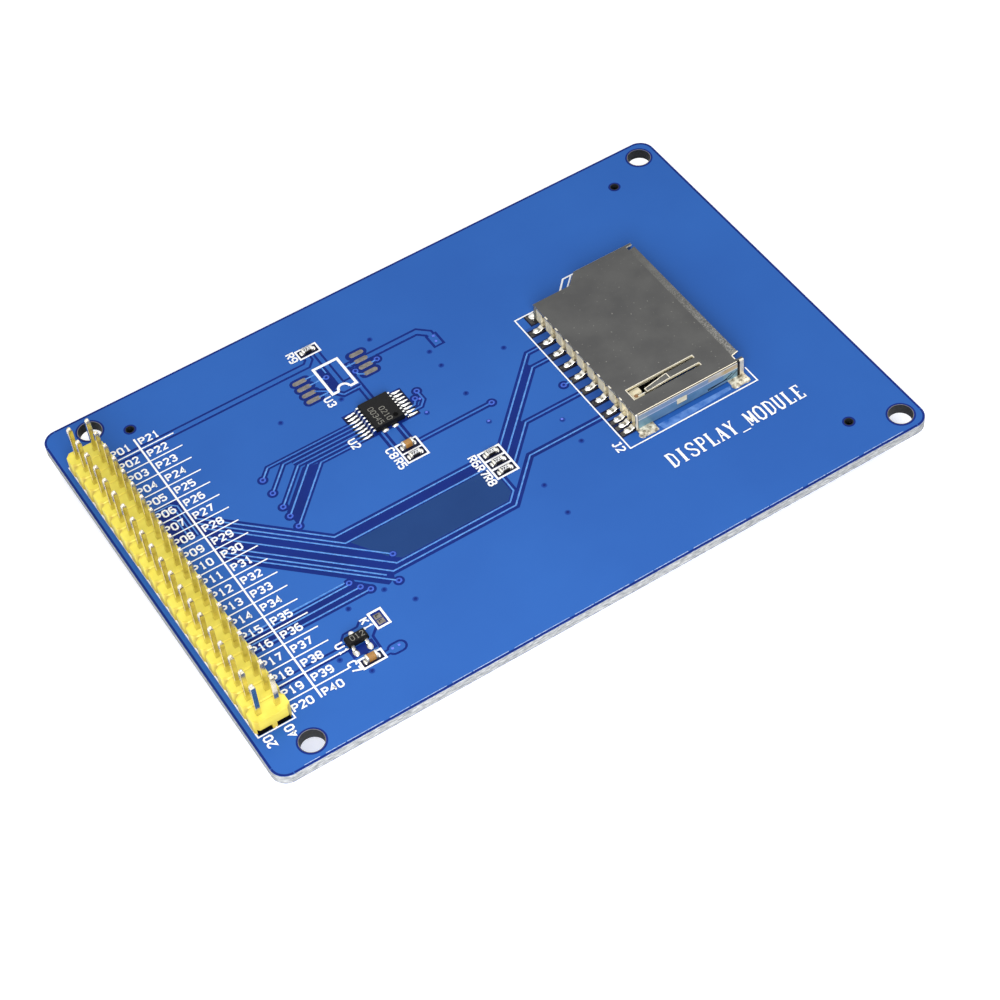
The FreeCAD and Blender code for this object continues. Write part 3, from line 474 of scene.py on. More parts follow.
bare_field = [(-23.0, -6.35), (-3.1, -6.35), (-3.1, -8.7), (-2.25, -8.7), (-2.25, -11.05), (-3.4, -12.2),
              (-18.9, -12.2), (-20.2, -11.0)]
field_finish = surface("bare_field_under_mask", "21427A", "1B3A70", rough=0.34, blotch=100, gloss=0.06)
printed("bare_field", [bare_field], 0.012, 0.1, field_finish, rise=0.012)
printed("etched_ring", [disc(-19.6, -11.0, 0.55)], 0.016, 0.03, gap_finish, rise=0.012)

wide = [lane(top_run, 0.62), lane(drop_run, 0.55), lane(stub_run, 0.62), box(2.95, 4.0, 15.85, 17.8),
        oval(-27.5, -25.4, -23.55, 1.25), lane([(-28.4, -23.55), (-27.2, -23.55)], 0.4),
        lane(supply_run, 0.62), lane(post_run, 0.4)]
printed("wide_tracks", wide, 0.02, 0.04, pour_finish, rise=0.02)
# These tracks carry the painted sheen; the ones after them are the plain, darker copy of the same finish.
thin = lanes(bundle_runs + header_runs, 0.22)
thin += [lane(run[1:], 0.22) for run in chip_left_runs if len(run) > 2]
thin += [lane(run[:2], 0.22) for run in card_runs]
thin += [lane([(-14.2, y), (-12.5, y)], 0.24) for y in left_pad_y[:2] + left_pad_y[3:]]
thin += lanes([[(-12.5, 19.58), (-11.7, 19.5)], [(-7.2, 19.58), (-8.7, 19.58)], [(-5.5, 18.3), (-4.6, 18.4)],
               [(-7.2, 17.05), (-8.0, 17.6), (-8.0, 18.2)]], 0.24)
thin += [lane([(-11.35, 21.3), (-11.35, 20.2)], 0.2), lane([(12.9, 0.0), (14.1, 0.0)], 0.24)]
thin += [lane([(-41.3, y), (-39.3 + k, y), (-38.6 + k, y - 0.7), (-38.6 + k, 5.9)], 0.2)
         for k, y in ((0.0, 11.6), (0.55, 12.3), (-0.6, 10.2))]
printed("thin_tracks", thin, 0.03, 0.05, sheen_track_finish, rise=0.025)
far_thin = lanes(chip_right_runs + chip_down_runs + [middle_run, link_run], 0.26)
far_thin += [lane(run[1:], 0.24) for run in card_runs] + [lane(run[:2], 0.22) for run in chip_left_runs]
printed("far_thin_tracks", far_thin, 0.03, 0.05, plain_track_finish, rise=0.025)
below = [[(-44.3, y), (-40.6, y), (-39.6, y - 0.58), (-36.0, y - 0.58)]
         for y in [24.18 - pin_pitch * i for i in range(pin_rows)]]
under_board = {"drift": -1.22, "face": TOP - THICK, "way": -1}
printed("etched_gaps_below", lanes(below, 0.66), 0.004, 0.03, gap_finish, rise=0.004, **under_board)
printed("thin_tracks_below", lanes(below, 0.24), 0.012, 0.05, plain_track_finish, rise=0.02, **under_board)

collars = discs(ringed_vias, 0.42)
collar_finish = surface("mask_on_via_collar", "3C62CC", "3456BC", rough=0.25, gloss=0.2)
printed("via_collars", collars, 0.04, 0.06, collar_finish, rise=0.02)
sunk = [(-3.6, 22.0), (-20.5, 16.1), (1.75, 15.4), (1.75, 12.4), (1.8, 6.3), (-4.1, 6.4), (-12.0, 15.0),
        (1.65, 0.4), (1.65, -12.7), (1.65, -18.1), (-20.9, -18.6), (-28.4, -15.15), (-23.3, -15.15),
        (-33.1, -21.2), (-30.7, -24.8), (10.1, 10.2), (9.5, -4.9), (9.5, -9.3)]
dimple_finish = surface("mask_sunk_in_via", "22489E", "1D3F92", rough=0.3, blotch=300, gloss=0.06)
printed("via_dimples", discs(sunk, 0.4), 0.003, 0.12, dimple_finish)
printed("via_pits", discs(sunk + ringed_vias, 0.2, 12), 0.066, 0.03, gap_finish)
eye_finish = surface("bright_via_eye", "5470E4", "4258D0", rough=0.2)
eyes = [(-27.0, -23.4), (-26.1, -23.4), (3.62, 17.5), (3.45, 16.5), (9.5, -4.8), (1.65, 0.5), (-4.1, 6.5),
        (-3.6, 9.0)]
printed("via_eyes", discs(eyes, 0.19, 12), 0.07, 0.04, eye_finish)


# White printing on the mask: the pin table, the outlines round the parts and their short marks.
# It is a thin, slightly uneven layer of paint, with plain numbering in place of names.
ink_finish = surface("white_print", "FFFFFF", "EBEFF6", rough=0.5, blotch=1400, grit=5000, depth=0.2)
strokes = [lane([(-37.55, 24.9), (-37.55, -24.7)], 0.27)]
strokes += [lane([(-41.5, 22.84 - pin_pitch * i), (-32.75, 22.84 - pin_pitch * i)], 0.19)
            for i in range(pin_rows - 1)]


def frame_lines(x0, x1, y0, y1, width):
    """Four strokes round a rectangle."""
    return [lane([(x0 - width / 2, y), (x1 + width / 2, y)], width) for y in (y0, y1)] + [
        lane([(x, y0 - width / 2), (x, y1 + width / 2)], width) for x in (x0, x1)]


strokes += frame_lines(-46.62, -41.6, -25.4, 25.45, 0.2)
strokes += [lane([(-44.1, -25.4), (-44.1, -24.6)], 0.2)]
strokes += frame_lines(-12.9, -9.9, 24.2, 25.8, 0.25)
strokes += frame_lines(-10.43, -7.42, 0.43, 3.77, 0.26) + [lane([(-10.43, 2.05), (-7.42, 2.05)], 0.24)]
strokes += frame_lines(-2.56, 0.52, -8.47, -3.63, 0.28)
strokes += [lane([(-2.56, y), (0.52, y)], 0.3) for y in (-5.24, -6.86)]
strokes += frame_lines(-26.9, -25.2, -19.85, -17.3, 0.3)
strokes += frame_lines(-31.35, -28.25, -24.1, -22.6, 0.28)
strokes += [lane([(-12.5, 21.6), (-8.9, 21.6)], 0.42), lane([(-12.5, 21.8), (-12.5, 16.2)], 0.4),
            lane([(-8.9, 21.8), (-8.9, 16.2)], 0.4), lane([(-12.7, 16.35), (-11.5, 16.35)], 0.4),
            lane([(-9.9, 16.35), (-8.7, 16.35)], 0.4)]
strokes += [lane([(-10.7 + 0.82 * math.cos(math.radians(a)), 16.4 + 0.82 * math.sin(math.radians(a)))
                  for a in range(0, 181, 15)], 0.36)]
strokes += [lane([(17.4, 13.35), (13.85, 13.35), (13.85, -14.05), (33.65, -14.05), (33.65, -11.3)], 0.2),
            lane([(21.45, 14.1), (23.25, 16.05), (25.1, 16.05)], 0.25),
            lane([(22.5, 14.0), (24.5, 16.0)], 0.2)]
printed("print_lines", strokes, 0.075, 0.02, ink_finish, rise=0.02)


letters = {
    "0": [[(0, 1), (0, 5), (1, 6), (3, 6), (4, 5), (4, 1), (3, 0), (1, 0), (0, 1)]],
    "1": [[(0.8, 4.8), (2, 6), (2, 0)], [(0.8, 0), (3.2, 0)]],
    "2": [[(0, 5), (1, 6), (3, 6), (4, 5), (4, 4), (0, 0), (4, 0)]],
    "3": [[(0, 5), (1, 6), (3, 6), (4, 5), (4, 4), (3, 3), (1.5, 3)],
          [(3, 3), (4, 2), (4, 1), (3, 0), (1, 0), (0, 1)]],
    "4": [[(3, 0), (3, 6), (0, 2), (4, 2)]],
    "5": [[(4, 6), (0, 6), (0, 3.5), (3, 3.5), (4, 2.5), (4, 1), (3, 0), (1, 0), (0, 1)]],
    "6": [[(3.5, 6), (1, 6), (0, 5), (0, 1), (1, 0), (3, 0), (4, 1), (4, 2.5), (3, 3.5), (0, 3.5)]],
    "7": [[(0, 6), (4, 6), (1.5, 0)]],
    "8": [[(1, 3), (0, 4), (0, 5), (1, 6), (3, 6), (4, 5), (4, 4), (3, 3), (1, 3)],
          [(1, 3), (0, 2), (0, 1), (1, 0), (3, 0), (4, 1), (4, 2), (3, 3)]],
    "9": [[(4, 2.5), (1, 2.5), (0, 3.5), (0, 5), (1, 6), (3, 6), (4, 5), (4, 1), (3, 0), (0.5, 0)]],
    "P": [[(0, 0), (0, 6), (3, 6), (4, 5), (4, 4), (3, 3), (0, 3)]],
    "R": [[(0, 0), (0, 6), (3, 6), (4, 5), (4, 4), (3, 3), (0, 3)], [(2, 3), (4, 0)]],
    "C": [[(4, 5), (3, 6), (1, 6), (0, 5), (0, 1), (1, 0), (3, 0), (4, 1)]],
    "U": [[(0, 6), (0, 1), (1, 0), (3, 0), (4, 1), (4, 6)]],
    "J": [[(1, 6), (4, 6)], [(3, 6), (3, 1), (2, 0), (1, 0), (0, 1)]],
    "K": [[(0, 0), (0, 6)], [(4, 6), (0, 2.5)], [(1.3, 3.6), (4, 0)]],
}
capitals = {
    "D": [(0.36, [(1, 0), (1, 6)]), (0.24, [(0.3, 6), (2.4, 6), (3.6, 4.8), (3.6, 1.2), (2.4, 0), (0.3, 0)])],
    "I": [(0.4, [(2, 0), (2, 6)]), (0.17, [(1, 6), (3, 6)]), (0.17, [(1, 0), (3, 0)])],
    "S": [(0.27, [(3.6, 4.4), (3.3, 5.6), (2.4, 6), (1.4, 6), (0.5, 5.2), (0.5, 4.2), (1.3, 3.4), (2.8, 2.6),
                  (3.6, 1.8), (3.6, 0.8), (2.7, 0), (1.5, 0), (0.7, 0.4), (0.3, 1.6)])],
    "P": [(0.36, [(1, 0), (1, 6)]), (0.23, [(0.3, 6), (2.8, 6), (3.6, 5.3), (3.6, 3.7), (2.8, 3), (1, 3)]),
          (0.17, [(0.2, 0), (1.9, 0)])],
    "L": [(0.36, [(1.1, 0), (1.1, 6)]), (0.17, [(0.2, 6), (2, 6)]), (0.19, [(0.2, 0), (3.6, 0), (3.6, 1.4)])],
    "A": [(0.18, [(0.6, 0), (2, 6)]), (0.38, [(2, 6), (3.4, 0)]), (0.17, [(1.1, 2), (3, 2)]),
          (0.17, [(0, 0), (1.3, 0)]), (0.17, [(2.6, 0), (4.1, 0)])],
    "Y": [(0.36, [(0.6, 6), (2, 3)]), (0.18, [(3.5, 6), (2, 3)]), (0.38, [(2, 3.2), (2, 0)]),
          (0.17, [(0, 6), (1.3, 6)]), (0.17, [(2.8, 6), (4, 6)]), (0.17, [(1.2, 0), (2.8, 0)])],
    "M": [(0.18, [(0.5, 0), (0.5, 6)]), (0.34, [(0.5, 6), (2, 1)]), (0.18, [(2, 1), (3.5, 6)]),
          (0.36, [(3.4, 6), (3.4, 0)]), (0.17, [(0, 0), (1.1, 0)]), (0.17, [(2.7, 0), (4.2, 0)])],
    "O": [(0.3, [(1.3, 0), (0.4, 1.2), (0.4, 4.8), (1.3, 6), (2.7, 6), (3.6, 4.8), (3.6, 1.2), (2.7, 0),
                  (1.3, 0)])],
    "U": [(0.3, [(0.8, 6), (0.8, 1), (1.5, 0), (2.5, 0), (3.2, 1), (3.2, 6)]), (0.17, [(0, 6), (1.6, 6)]),
          (0.17, [(2.5, 6), (4, 6)])],
    "E": [(0.36, [(1.1, 0), (1.1, 6)]), (0.19, [(0.2, 6), (3.5, 6), (3.5, 4.8)]),
          (0.17, [(1.1, 3), (2.7, 3)]), (0.19, [(0.2, 0), (3.6, 0), (3.6, 1.3)])],
    "_": [(0.17, [(0, -0.9), (4, -0.9)])],
}


def turned(points, x, y, width, height, turn):
    """Points of a letter on its four by six grid, set in their place on the board."""
    across, along = math.cos(math.radians(turn)), math.sin(math.radians(turn))
    sized = [(px * width / 4, py * height / 6) for px, py in points]
    return [(x + px * across - py * along, y + px * along + py * across) for px, py in sized]


def words(text, x, y, height=1.04, turn=0.0, weight=0.24):
    """The strokes of a short mark in thin, even letters."""
    width, across, along = height * 0.62, math.cos(math.radians(turn)), math.sin(math.radians(turn))
    outlines = []
    for i, letter in enumerate(text):
        step = i * height * 0.94
        for stroke in letters[letter]:
            outline = turned(stroke, x + step * across, y + step * along, width, height, turn)
            outlines.append(lane(outline, weight))
    return outlines


marks = []
for row in range(pin_rows):
    y = 23.54 - pin_pitch * row
    marks += words("P%02d" % (row + 1), -41.2, y) + words("P%02d" % (row + 1 + pin_rows), -37.05, y)
for text, x, y, turn in (("20", -45.2, -27.5, 90), ("40", -42.4, -27.6, 90), ("R9", -14.3, 25.95, -90),
                         ("U3", -13.95, 16.2, -90), ("U2", -15.0, 8.1, -90), ("C8", -11.85, 3.9, -90),
                         ("R5", -11.85, 1.75, -90), ("R6", -4.0, -3.45, -90), ("R7", -4.0, -5.4, -90),
                         ("R8", -4.0, -7.3, -90), ("K1", -28.3, -17.6, -90), ("U1", -32.6, -19.1, -90),
                         ("C7", -32.7, -22.3, -90), ("J2", 12.25, -12.2, -90)):
    marks += words(text, x, y, turn=turn)
for i, letter in enumerate("DISPLAY_MODULE"):
    marks += [lane(turned(stroke, 16.45 + 1.5 * i, -19.9, 1.22, 2.25, 0), weight)
              for weight, stroke in capitals[letter]]
printed("print_words", marks, 0.075, 0.015, ink_finish, rise=0.02)


# Bare copper with a thin tin coat: the pads left empty, and those under the socket's contact tails.
# The empty ones have dulled to a warm grey; the contact pads are painted dark as shade, and the solder is
# bright.
tin_finish = surface("dull_tin", "7E7974", "55514C", metal=0.8, rough=0.42, blotch=1800, grit=3500,
                     depth=0.5)
solder_finish = surface("bright_solder", "F2F1EC", "C8C6BE", metal=0.9, rough=0.24, grit=2500, depth=0.5)
# Painted shade: a slightly darker patch of mask along the socket's row of contact pads.
printed("mask_between_pads", [box(13.98, 16.4, -12.15, 11.2)], 0.006, 0.02,
        surface("mask_painted_shade_by_socket", "2A549F", "254A92", rough=0.34, blotch=120, gloss=0.08))
bare_pads = [oval(-16.05, -13.95, y, 0.72) for y in left_pad_y]
bare_pads += [oval(-7.4, -5.3, y, 0.72) for y in left_pad_y]
bare_pads += [box(-26.55, -25.55, -18.55, -17.75), box(-26.55, -25.55, -19.45, -18.65)]
contact_pitch = 2.5
contact_y = [10.0 - contact_pitch * i for i in range(8)] + [-9.15, -10.3, -11.45]
printed("bare_pads", bare_pads, 0.02, 0.05, tin_finish, "solder", rise=0.02)
jumper_marks = [lane([(-26.25, y - 0.18), (-26.25, y + 0.18), (-25.85, y + 0.18)], 0.13)
                for y in (-18.15, -19.05)]
printed("jumper_marks", jumper_marks, 0.044, 0.02,
        surface("tarnished_tin", "2E2B28", "1E1C1A", metal=0.4, rough=0.6, blotch=1800), "solder")
used_pads = [box(14.15, 16.2, y - 0.42, y + 0.42) for y in contact_y[:8]]
used_pads += [box(14.15, 16.2, y - 0.36, y + 0.36) for y in contact_y[8:]] + [box(15.3, 16.9, 11.4, 13.2)]
# Painted shade: the pads under the contact tails are dark grey to near-black.
shaded_pad_finish = surface("pad_round_tail_painted_shade", "55524E", "24242A", metal=0.7, rough=0.4, blotch=1500, amount=1.0,
                     grit=3500, depth=0.5)
printed("used_pads", used_pads, 0.024, 0.05, shaded_pad_finish, "solder", rise=0.02)
# Partly the etched gap round each pad, partly painted shade: near-black round the pads, under the chips' legs
# and the small parts.
pad_gap_finish = surface("shade_round_pads", "0E1534", "0A0F28", rough=0.4, blotch=300, gloss=0.1)
pad_gaps_and_shade = [box(14.0, 16.35, y - 0.7, y + 0.7) for y in contact_y[:8]]
pad_gaps_and_shade += [box(14.0, 16.35, y - 0.56, y + 0.56) for y in contact_y[8:]] + [box(15.1, 17.0, 11.2, 13.4)]
pad_gaps_and_shade += [box(-12.75, -10.05, 24.38, 25.64), box(-10.28, -7.57, 0.6, 1.92), box(-10.28, -7.57, 2.2, 3.62)]
pad_gaps_and_shade += [box(-2.38, 0.36, y - 0.66, y + 0.66) for y in (-4.42, -6.07, -7.66)]
pad_gaps_and_shade += [box(-31.18, -28.42, -23.93, -22.77), box(-13.5, -11.7, 6.95, 12.0), box(-6.65, -4.8, 6.95, 12.0)]
printed("pad_gaps_and_shade", pad_gaps_and_shade, 0.012, 0.02, pad_gap_finish)


# The screw holes and the small locating holes: a bright bare ring round each screw hole,
# and a navy ring where the copper stops short of the hole.
def ring(x, y, inner, outer, z, rise, name, finish):
    """A flat ring round a hole, with a small thickness."""
    bpy.ops.mesh.primitive_circle_add(vertices=64, radius=inner * MM, location=at(x, y, z))
    piece = bpy.context.object
    edit_all()
    bpy.ops.mesh.extrude_region_move()
    bpy.ops.transform.resize(value=(outer / inner, outer / inner, 1), center_override=at(x, y, z))
    bpy.ops.mesh.select_all(action="SELECT")
    bpy.ops.mesh.extrude_region_move(TRANSFORM_OT_translate={"value": (0, 0, rise * MM)})
    bpy.ops.mesh.select_all(action="SELECT")
    bpy.ops.mesh.normals_make_consistent(inside=False)
    edit_done()
    bpy.ops.object.transform_apply(location=True)
    return fitted(piece, name, finish)


def hole_lining(x, y, radius, low, high, name, finish):
    """A hole's drilled wall, painted dark as shade: an open tube just inside it, rolled in a little at its
    ends.
    """
    bpy.ops.mesh.primitive_cylinder_add(vertices=64, radius=radius * MM, depth=(high - low) * MM,
                                        end_fill_type="NOTHING", location=at(x, y, (low + high) / 2))
    piece = bpy.context.object
    edit_all()
    bpy.ops.mesh.flip_normals()
    edit_done()
    bpy.ops.object.transform_apply(location=True)
    wall = piece.modifiers.new("wall", "SOLIDIFY")
    wall.thickness = 0.01 * MM
    wall.offset = 1.0
    bpy.ops.object.modifier_apply(modifier=wall.name)
    return fitted(piece, name, finish)


# Painted shade: the drilled walls and the ring round each locating hole are near-black for the shade inside
# the holes.
hole_shade_finish = surface("drilled_wall_painted_shade", "26282B", "121316", rough=0.6, blotch=2500, grit=3500, depth=0.5,
                        gloss=0.2)
locating_places = [(-37.15, 26.65), (38.85, 26.65), (38.85, -26.65)]
screw_places = [(44.9, 29.5), (44.9, -29.5), (-41.6, 29.5), (-41.6, -29.5)]
for i, (x, y) in enumerate(screw_places):
    ring(x, y, 1.62, 1.92, TOP + 0.002, 0.006, "screw_hole_gap_%d" % i, gap_finish)
    ring(x, y, 1.6, 1.67, TOP + 0.004, 0.03, "screw_hole_rim_%d" % i, tin_finish)
    hole_lining(x, y, 1.58, TOP - THICK, TOP, "screw_hole_wall_%d" % i, hole_shade_finish)
    ring(x, y, 1.62, 1.92, TOP - THICK - 0.008, 0.006, "screw_hole_gap_below_%d" % i, gap_finish)
    ring(x, y, 1.6, 1.67, TOP - THICK - 0.034, 0.03, "screw_hole_rim_below_%d" % i, tin_finish)
for i, (x, y) in enumerate(locating_places):
    ring(x, y, 0.56, 0.86, TOP + 0.002, 0.006, "locating_hole_gap_%d" % i, gap_finish)
    ring(x, y, 0.52, 0.62, TOP + 0.004, 0.02, "locating_hole_rim_%d" % i, hole_shade_finish)
    hole_lining(x, y, 0.54, TOP - 0.86, TOP, "locating_hole_wall_%d" % i, hole_shade_finish)
shade_finish = surface("shade_in_small_hole", "060708", "030304", rough=0.8, gloss=0.03)
printed("locating_hole_ends", discs(locating_places, 0.54), -0.885, 0.02, shade_finish, drift=0.0)


# The pin header: a yellow moulding with a bevelled lobe for each pair of pins, slightly translucent.
# Its square pins are drawn brass with bright tin, and stand in a tight square hole each.
def softened(node, width, segments, finish):
    """A copy of a solid with its hard edges broken, that stands for it."""
    source = nodes[node]
    piece = source.copy()
    piece.data = source.data.copy()
    piece.parent = None
    for key in [k for k in piece.keys() if k.startswith("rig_")]:
        del piece[key]
    scene.collection.objects.link(piece)
    merged([piece])
    edit_all()
    bpy.ops.mesh.remove_doubles(threshold=0.000002)
    bpy.ops.mesh.dissolve_limited(angle_limit=math.radians(0.6))
    bpy.ops.mesh.normals_make_consistent(inside=False)
    edit_done()
    softener = piece.modifiers.new("soft_edges", "BEVEL")
    softener.width = width * MM
    softener.segments = segments
    softener.limit_method = "ANGLE"
    softener.angle_limit = math.radians(20)
    softener.use_clamp_overlap = True
    bpy.ops.object.modifier_apply(modifier=softener.name)
    bpy.ops.object.shade_smooth_by_angle(angle=math.radians(40))
    evener = piece.modifiers.new("even_faces", "WEIGHTED_NORMAL")
    evener.keep_sharp = True
    bpy.ops.object.modifier_apply(modifier=evener.name)
    fitted(piece, node + "_finished", finish)
    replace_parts(piece, node)
    return piece


pin_columns = (-45.42, -42.88)
header_x, header_y = -44.15, 0.05
yellow_finish, tree, shader, tone = toned("yellow_moulding", "EFE15A", "E4D346", rough=0.42, blotch=350,
                                          grit=2500, depth=0.22)
# Painted shade: the yellow turns amber in the notches between the lobes on the outer flanks, and towards the
# board.
axes = split_up(tree, own_place(tree))
from_notch = reckon(tree, "PINGPONG", reckon(tree, "SUBTRACT", axes["Y"], header_y * MM), pin_pitch / 2 * MM)
notch = share_of(tree, from_notch, 0.05 * MM, 0.6 * MM, 1.0, 0.0)
from_middle = reckon(tree, "ABSOLUTE", reckon(tree, "SUBTRACT", axes["X"], header_x * MM))
flank = share_of(tree, from_middle, 1.8 * MM, 2.4 * MM, 0.1)
low_shade = share_of(tree, axes["Z"], TOP * MM, (TOP + 2.1) * MM, 0.6, 0.0)
shade = reckon(tree, "MAXIMUM", reckon(tree, "MULTIPLY", notch, flank), low_shade)
feed(tree, mixed(tree, shade, tone, paint("A87808")), shader.inputs["Base Color"])
shader.inputs["Subsurface Weight"].default_value = 0.06
shader.inputs["Subsurface Radius"].default_value = (0.0006, 0.0005, 0.0001)
shader.inputs["Subsurface Scale"].default_value = 1.0
header = softened("header_body", 0.09, 2, yellow_finish)
for vertex in header.data.vertices:
    in_channel = min(abs(vertex.co.x / MM - column) for column in pin_columns) < 1.0
    if in_channel and TOP + 0.35 < vertex.co.z / MM < TOP + 0.65:
        vertex.co.z += 0.4 * MM
printed("shade_under_header", [box(-46.4, -41.9, -25.3, 25.4)], 0.003, 0.02,
        surface("shaded_mask_under_header", "0A0B12", "06070C", rough=0.8, blotch=300, gloss=0.03),
        drift=0.0)
pin_finish = surface("tinned_pin", "E8DFC8", "BDB397", metal=1.0, rough=0.13, grit=1800, depth=0.12)
softened("header_pins", 0.025, 1, pin_finish)

first_place = (pin_columns[0], header_y - (pin_rows - 1) / 2 * pin_pitch)
bpy.ops.mesh.primitive_cylinder_add(vertices=24, radius=0.85 * MM, depth=0.1 * MM,
                                    location=at(*first_place, 4.05))
first = bpy.context.object
bpy.ops.object.mode_set(mode="EDIT")
bpy.ops.mesh.select_all(action="DESELECT")
edit_done()
for face in first.data.polygons:
    face.select = face.normal.z < -0.9
bpy.ops.object.mode_set(mode="EDIT")
for drop, scale in ((0.08, 0.86), (0.16, 0.78), (0.26, 0.78), (0.3, 0.86)):
    bpy.ops.mesh.extrude_region_move(TRANSFORM_OT_translate={"value": (0, 0, -drop * MM)})
    bpy.ops.transform.resize(value=(scale, scale, 1), center_override=at(*first_place, 4.0))
edit_done()
bpy.ops.object.shade_smooth_by_angle(angle=math.radians(50))
bpy.ops.object.transform_apply(location=True)
joints = [first]
for column in pin_columns:
    for row in range(pin_rows):
        if (column, row) != (pin_columns[0], 0):
            joint = first.copy()
            joint.data = first.data.copy()
            joint.data.transform(Matrix.Translation(at(column - pin_columns[0], row * pin_pitch, 0)))
            scene.collection.objects.link(joint)
            joints.append(joint)
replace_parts(fitted(merged(joints), "header_solder_joints", solder_finish), "header_solder")


# The card socket: one stamped and folded steel sheet over a cream moulded base.
# The sheet is satin plated; its sheared edges and folds are painted bright as highlights, its walls with
# reflections and shade.
steel_finish, tree, shader, tone = toned("satin_sheet_steel", "545453", "4A4A4A", metal=1.0, rough=0.42,
                                         blotch=260, amount=0.8, grit=3000, depth=0.05)
flecks = share_of(tree, noise(tree, own_place(tree), 2600.0, 1), 0.71, 0.8, 0.0, 0.3)
feed(tree, mixed(tree, flecks, tone, paint("B0AEA6")), shader.inputs["Base Color"])
# Painted light: the side walls are the same steel painted lighter, for the light they catch and reflect.
lit_wall_finish = surface("side_wall_steel_painted_lighter", "A8ACAE", "94989A", metal=1.0, rough=0.3, blotch=260, grit=3000,
                      depth=0.08)
# Painted reflection: the near wall is tinted blue for the board that it mirrors.
near_wall_reflection_finish, tree, shader, tone = toned("near_wall_steel_painted_reflection", "86ABBE", "6A94AC", metal=0.5, rough=0.36,
                                             blotch=420, amount=1.0, grit=3000, depth=0.08)
axes = split_up(tree, own_place(tree))


def ramp_along(tree, source, stops, foot=0.0):
    """A colour ramp along an axis: (millimetres from the foot, colour or None) for each stop."""
    low, high = stops[0][0], stops[-1][0]
    ramp = tree.nodes.new("ShaderNodeValToRGB")
    steps = ramp.color_ramp.elements
    for mark, code in stops[1:-1]:
        steps.new((mark - low) / (high - low))
    for step, (mark, code) in zip(steps, stops):
        step.position = (mark - low) / (high - low)
        step.color = paint(code) if code else (0, 0, 0, 0)
    feed(tree, share_of(tree, source, (foot + low) * MM, (foot + high) * MM), ramp.inputs["Fac"])
    return ramp.outputs


cover_height = 2.9
# Painted light on the near wall: cream reflection bands on its right half, bright highlight lines at the
# folds, dark shadow lines at its base and under the top fold, and bright and dark lines at its ends.
reflection_bands = ramp_along(tree, axes["X"], [
    (26.0, "9DB0BE"), (27.2, "9DB0BE"), (27.4, "DECBA6"), (29.0, "ECDDBE"), (30.0, "CDB284"),
    (33.0, "E4D2AC")])
on_reflection_band = ramp_along(tree, axes["Z"], [
    (0.0, None), (1.86, None), (1.9, "FFFFFF"), (2.58, "FFFFFF"), (2.6, None),
    (cover_height, None)], foot=TOP)
light_and_shade_lines = ramp_along(tree, axes["Z"], [
    (0.0, "1A2440"), (0.16, "1A2440"), (0.2, None), (1.7, None), (1.73, "DCE0E6"), (1.86, "DCE0E6"),
    (1.9, None), (2.58, None), (2.62, "F6EEDA"), (2.76, "F6EEDA"), (2.78, "16120E"), (2.855, "16120E"),
    (2.865, "F2E8D0"), (cover_height, "F2E8D0")], foot=TOP)
end_light_and_shade_lines = ramp_along(tree, axes["X"], [
    (16.1, "F2EEE2"), (16.36, "F2EEE2"), (16.38, "1C1A1A"), (16.46, "1C1A1A"), (16.48, None), (31.86, None),
    (31.9, "0E0C0A"), (32.26, "0E0C0A"), (32.3, "EEE4CC"), (32.9, "EEE4CC")])
painted = mixed(tree, on_reflection_band["Alpha"], tone, reflection_bands["Color"])
for ramp in (light_and_shade_lines, end_light_and_shade_lines):
    painted = mixed(tree, ramp["Alpha"], painted, ramp["Color"])
feed(tree, painted, shader.inputs["Base Color"])
# Painted highlight: the sheared edges and rounded folds are cream-bright; bare sheared metal accounts for
# part of it.
highlight_edge_finish = surface("sheared_edge_painted_highlight", "F2E9CC", "D8CDA8", metal=0.35, rough=0.3)
worn_finish, tree, shader, tone = toned("worn_lip_steel", "5C5C5A", "4C4C4B", metal=1.0, rough=0.42,
                                        blotch=420, amount=1.0, grit=3000, depth=0.12)
place = own_place(tree)
rubbed = share_of(tree, split_up(tree, place)["Y"], 9.0 * MM, -8.0 * MM, 0.08, 0.58)
scratches = share_of(tree, noise(tree, place, 5600.0, 2), 0.4, 0.8)
bared = reckon(tree, "MULTIPLY", rubbed, scratches)
feed(tree, mixed(tree, bared, tone, paint("AEACA6")), shader.inputs["Base Color"])
foot_finish = surface("wetted_foot", "FFF6DE", "64563A", metal=0.1, rough=0.32, blotch=1900, amount=0.9,
                      grit=1700, depth=0.8)
finger_finish = surface("bent_finger", "5E5E5C", "4C4C4A", metal=1.0, rough=0.4)
cover = softened("card_socket_cover", 0.07, 2, steel_finish)
for finish in (lit_wall_finish, highlight_edge_finish, worn_finish, near_wall_reflection_finish, foot_finish, finger_finish):
    cover.data.materials.append(finish)
SIDE_WALL, SHEARED_LIT, LIP, NEAR_WALL, FOOT, FINGER = range(1, 7)
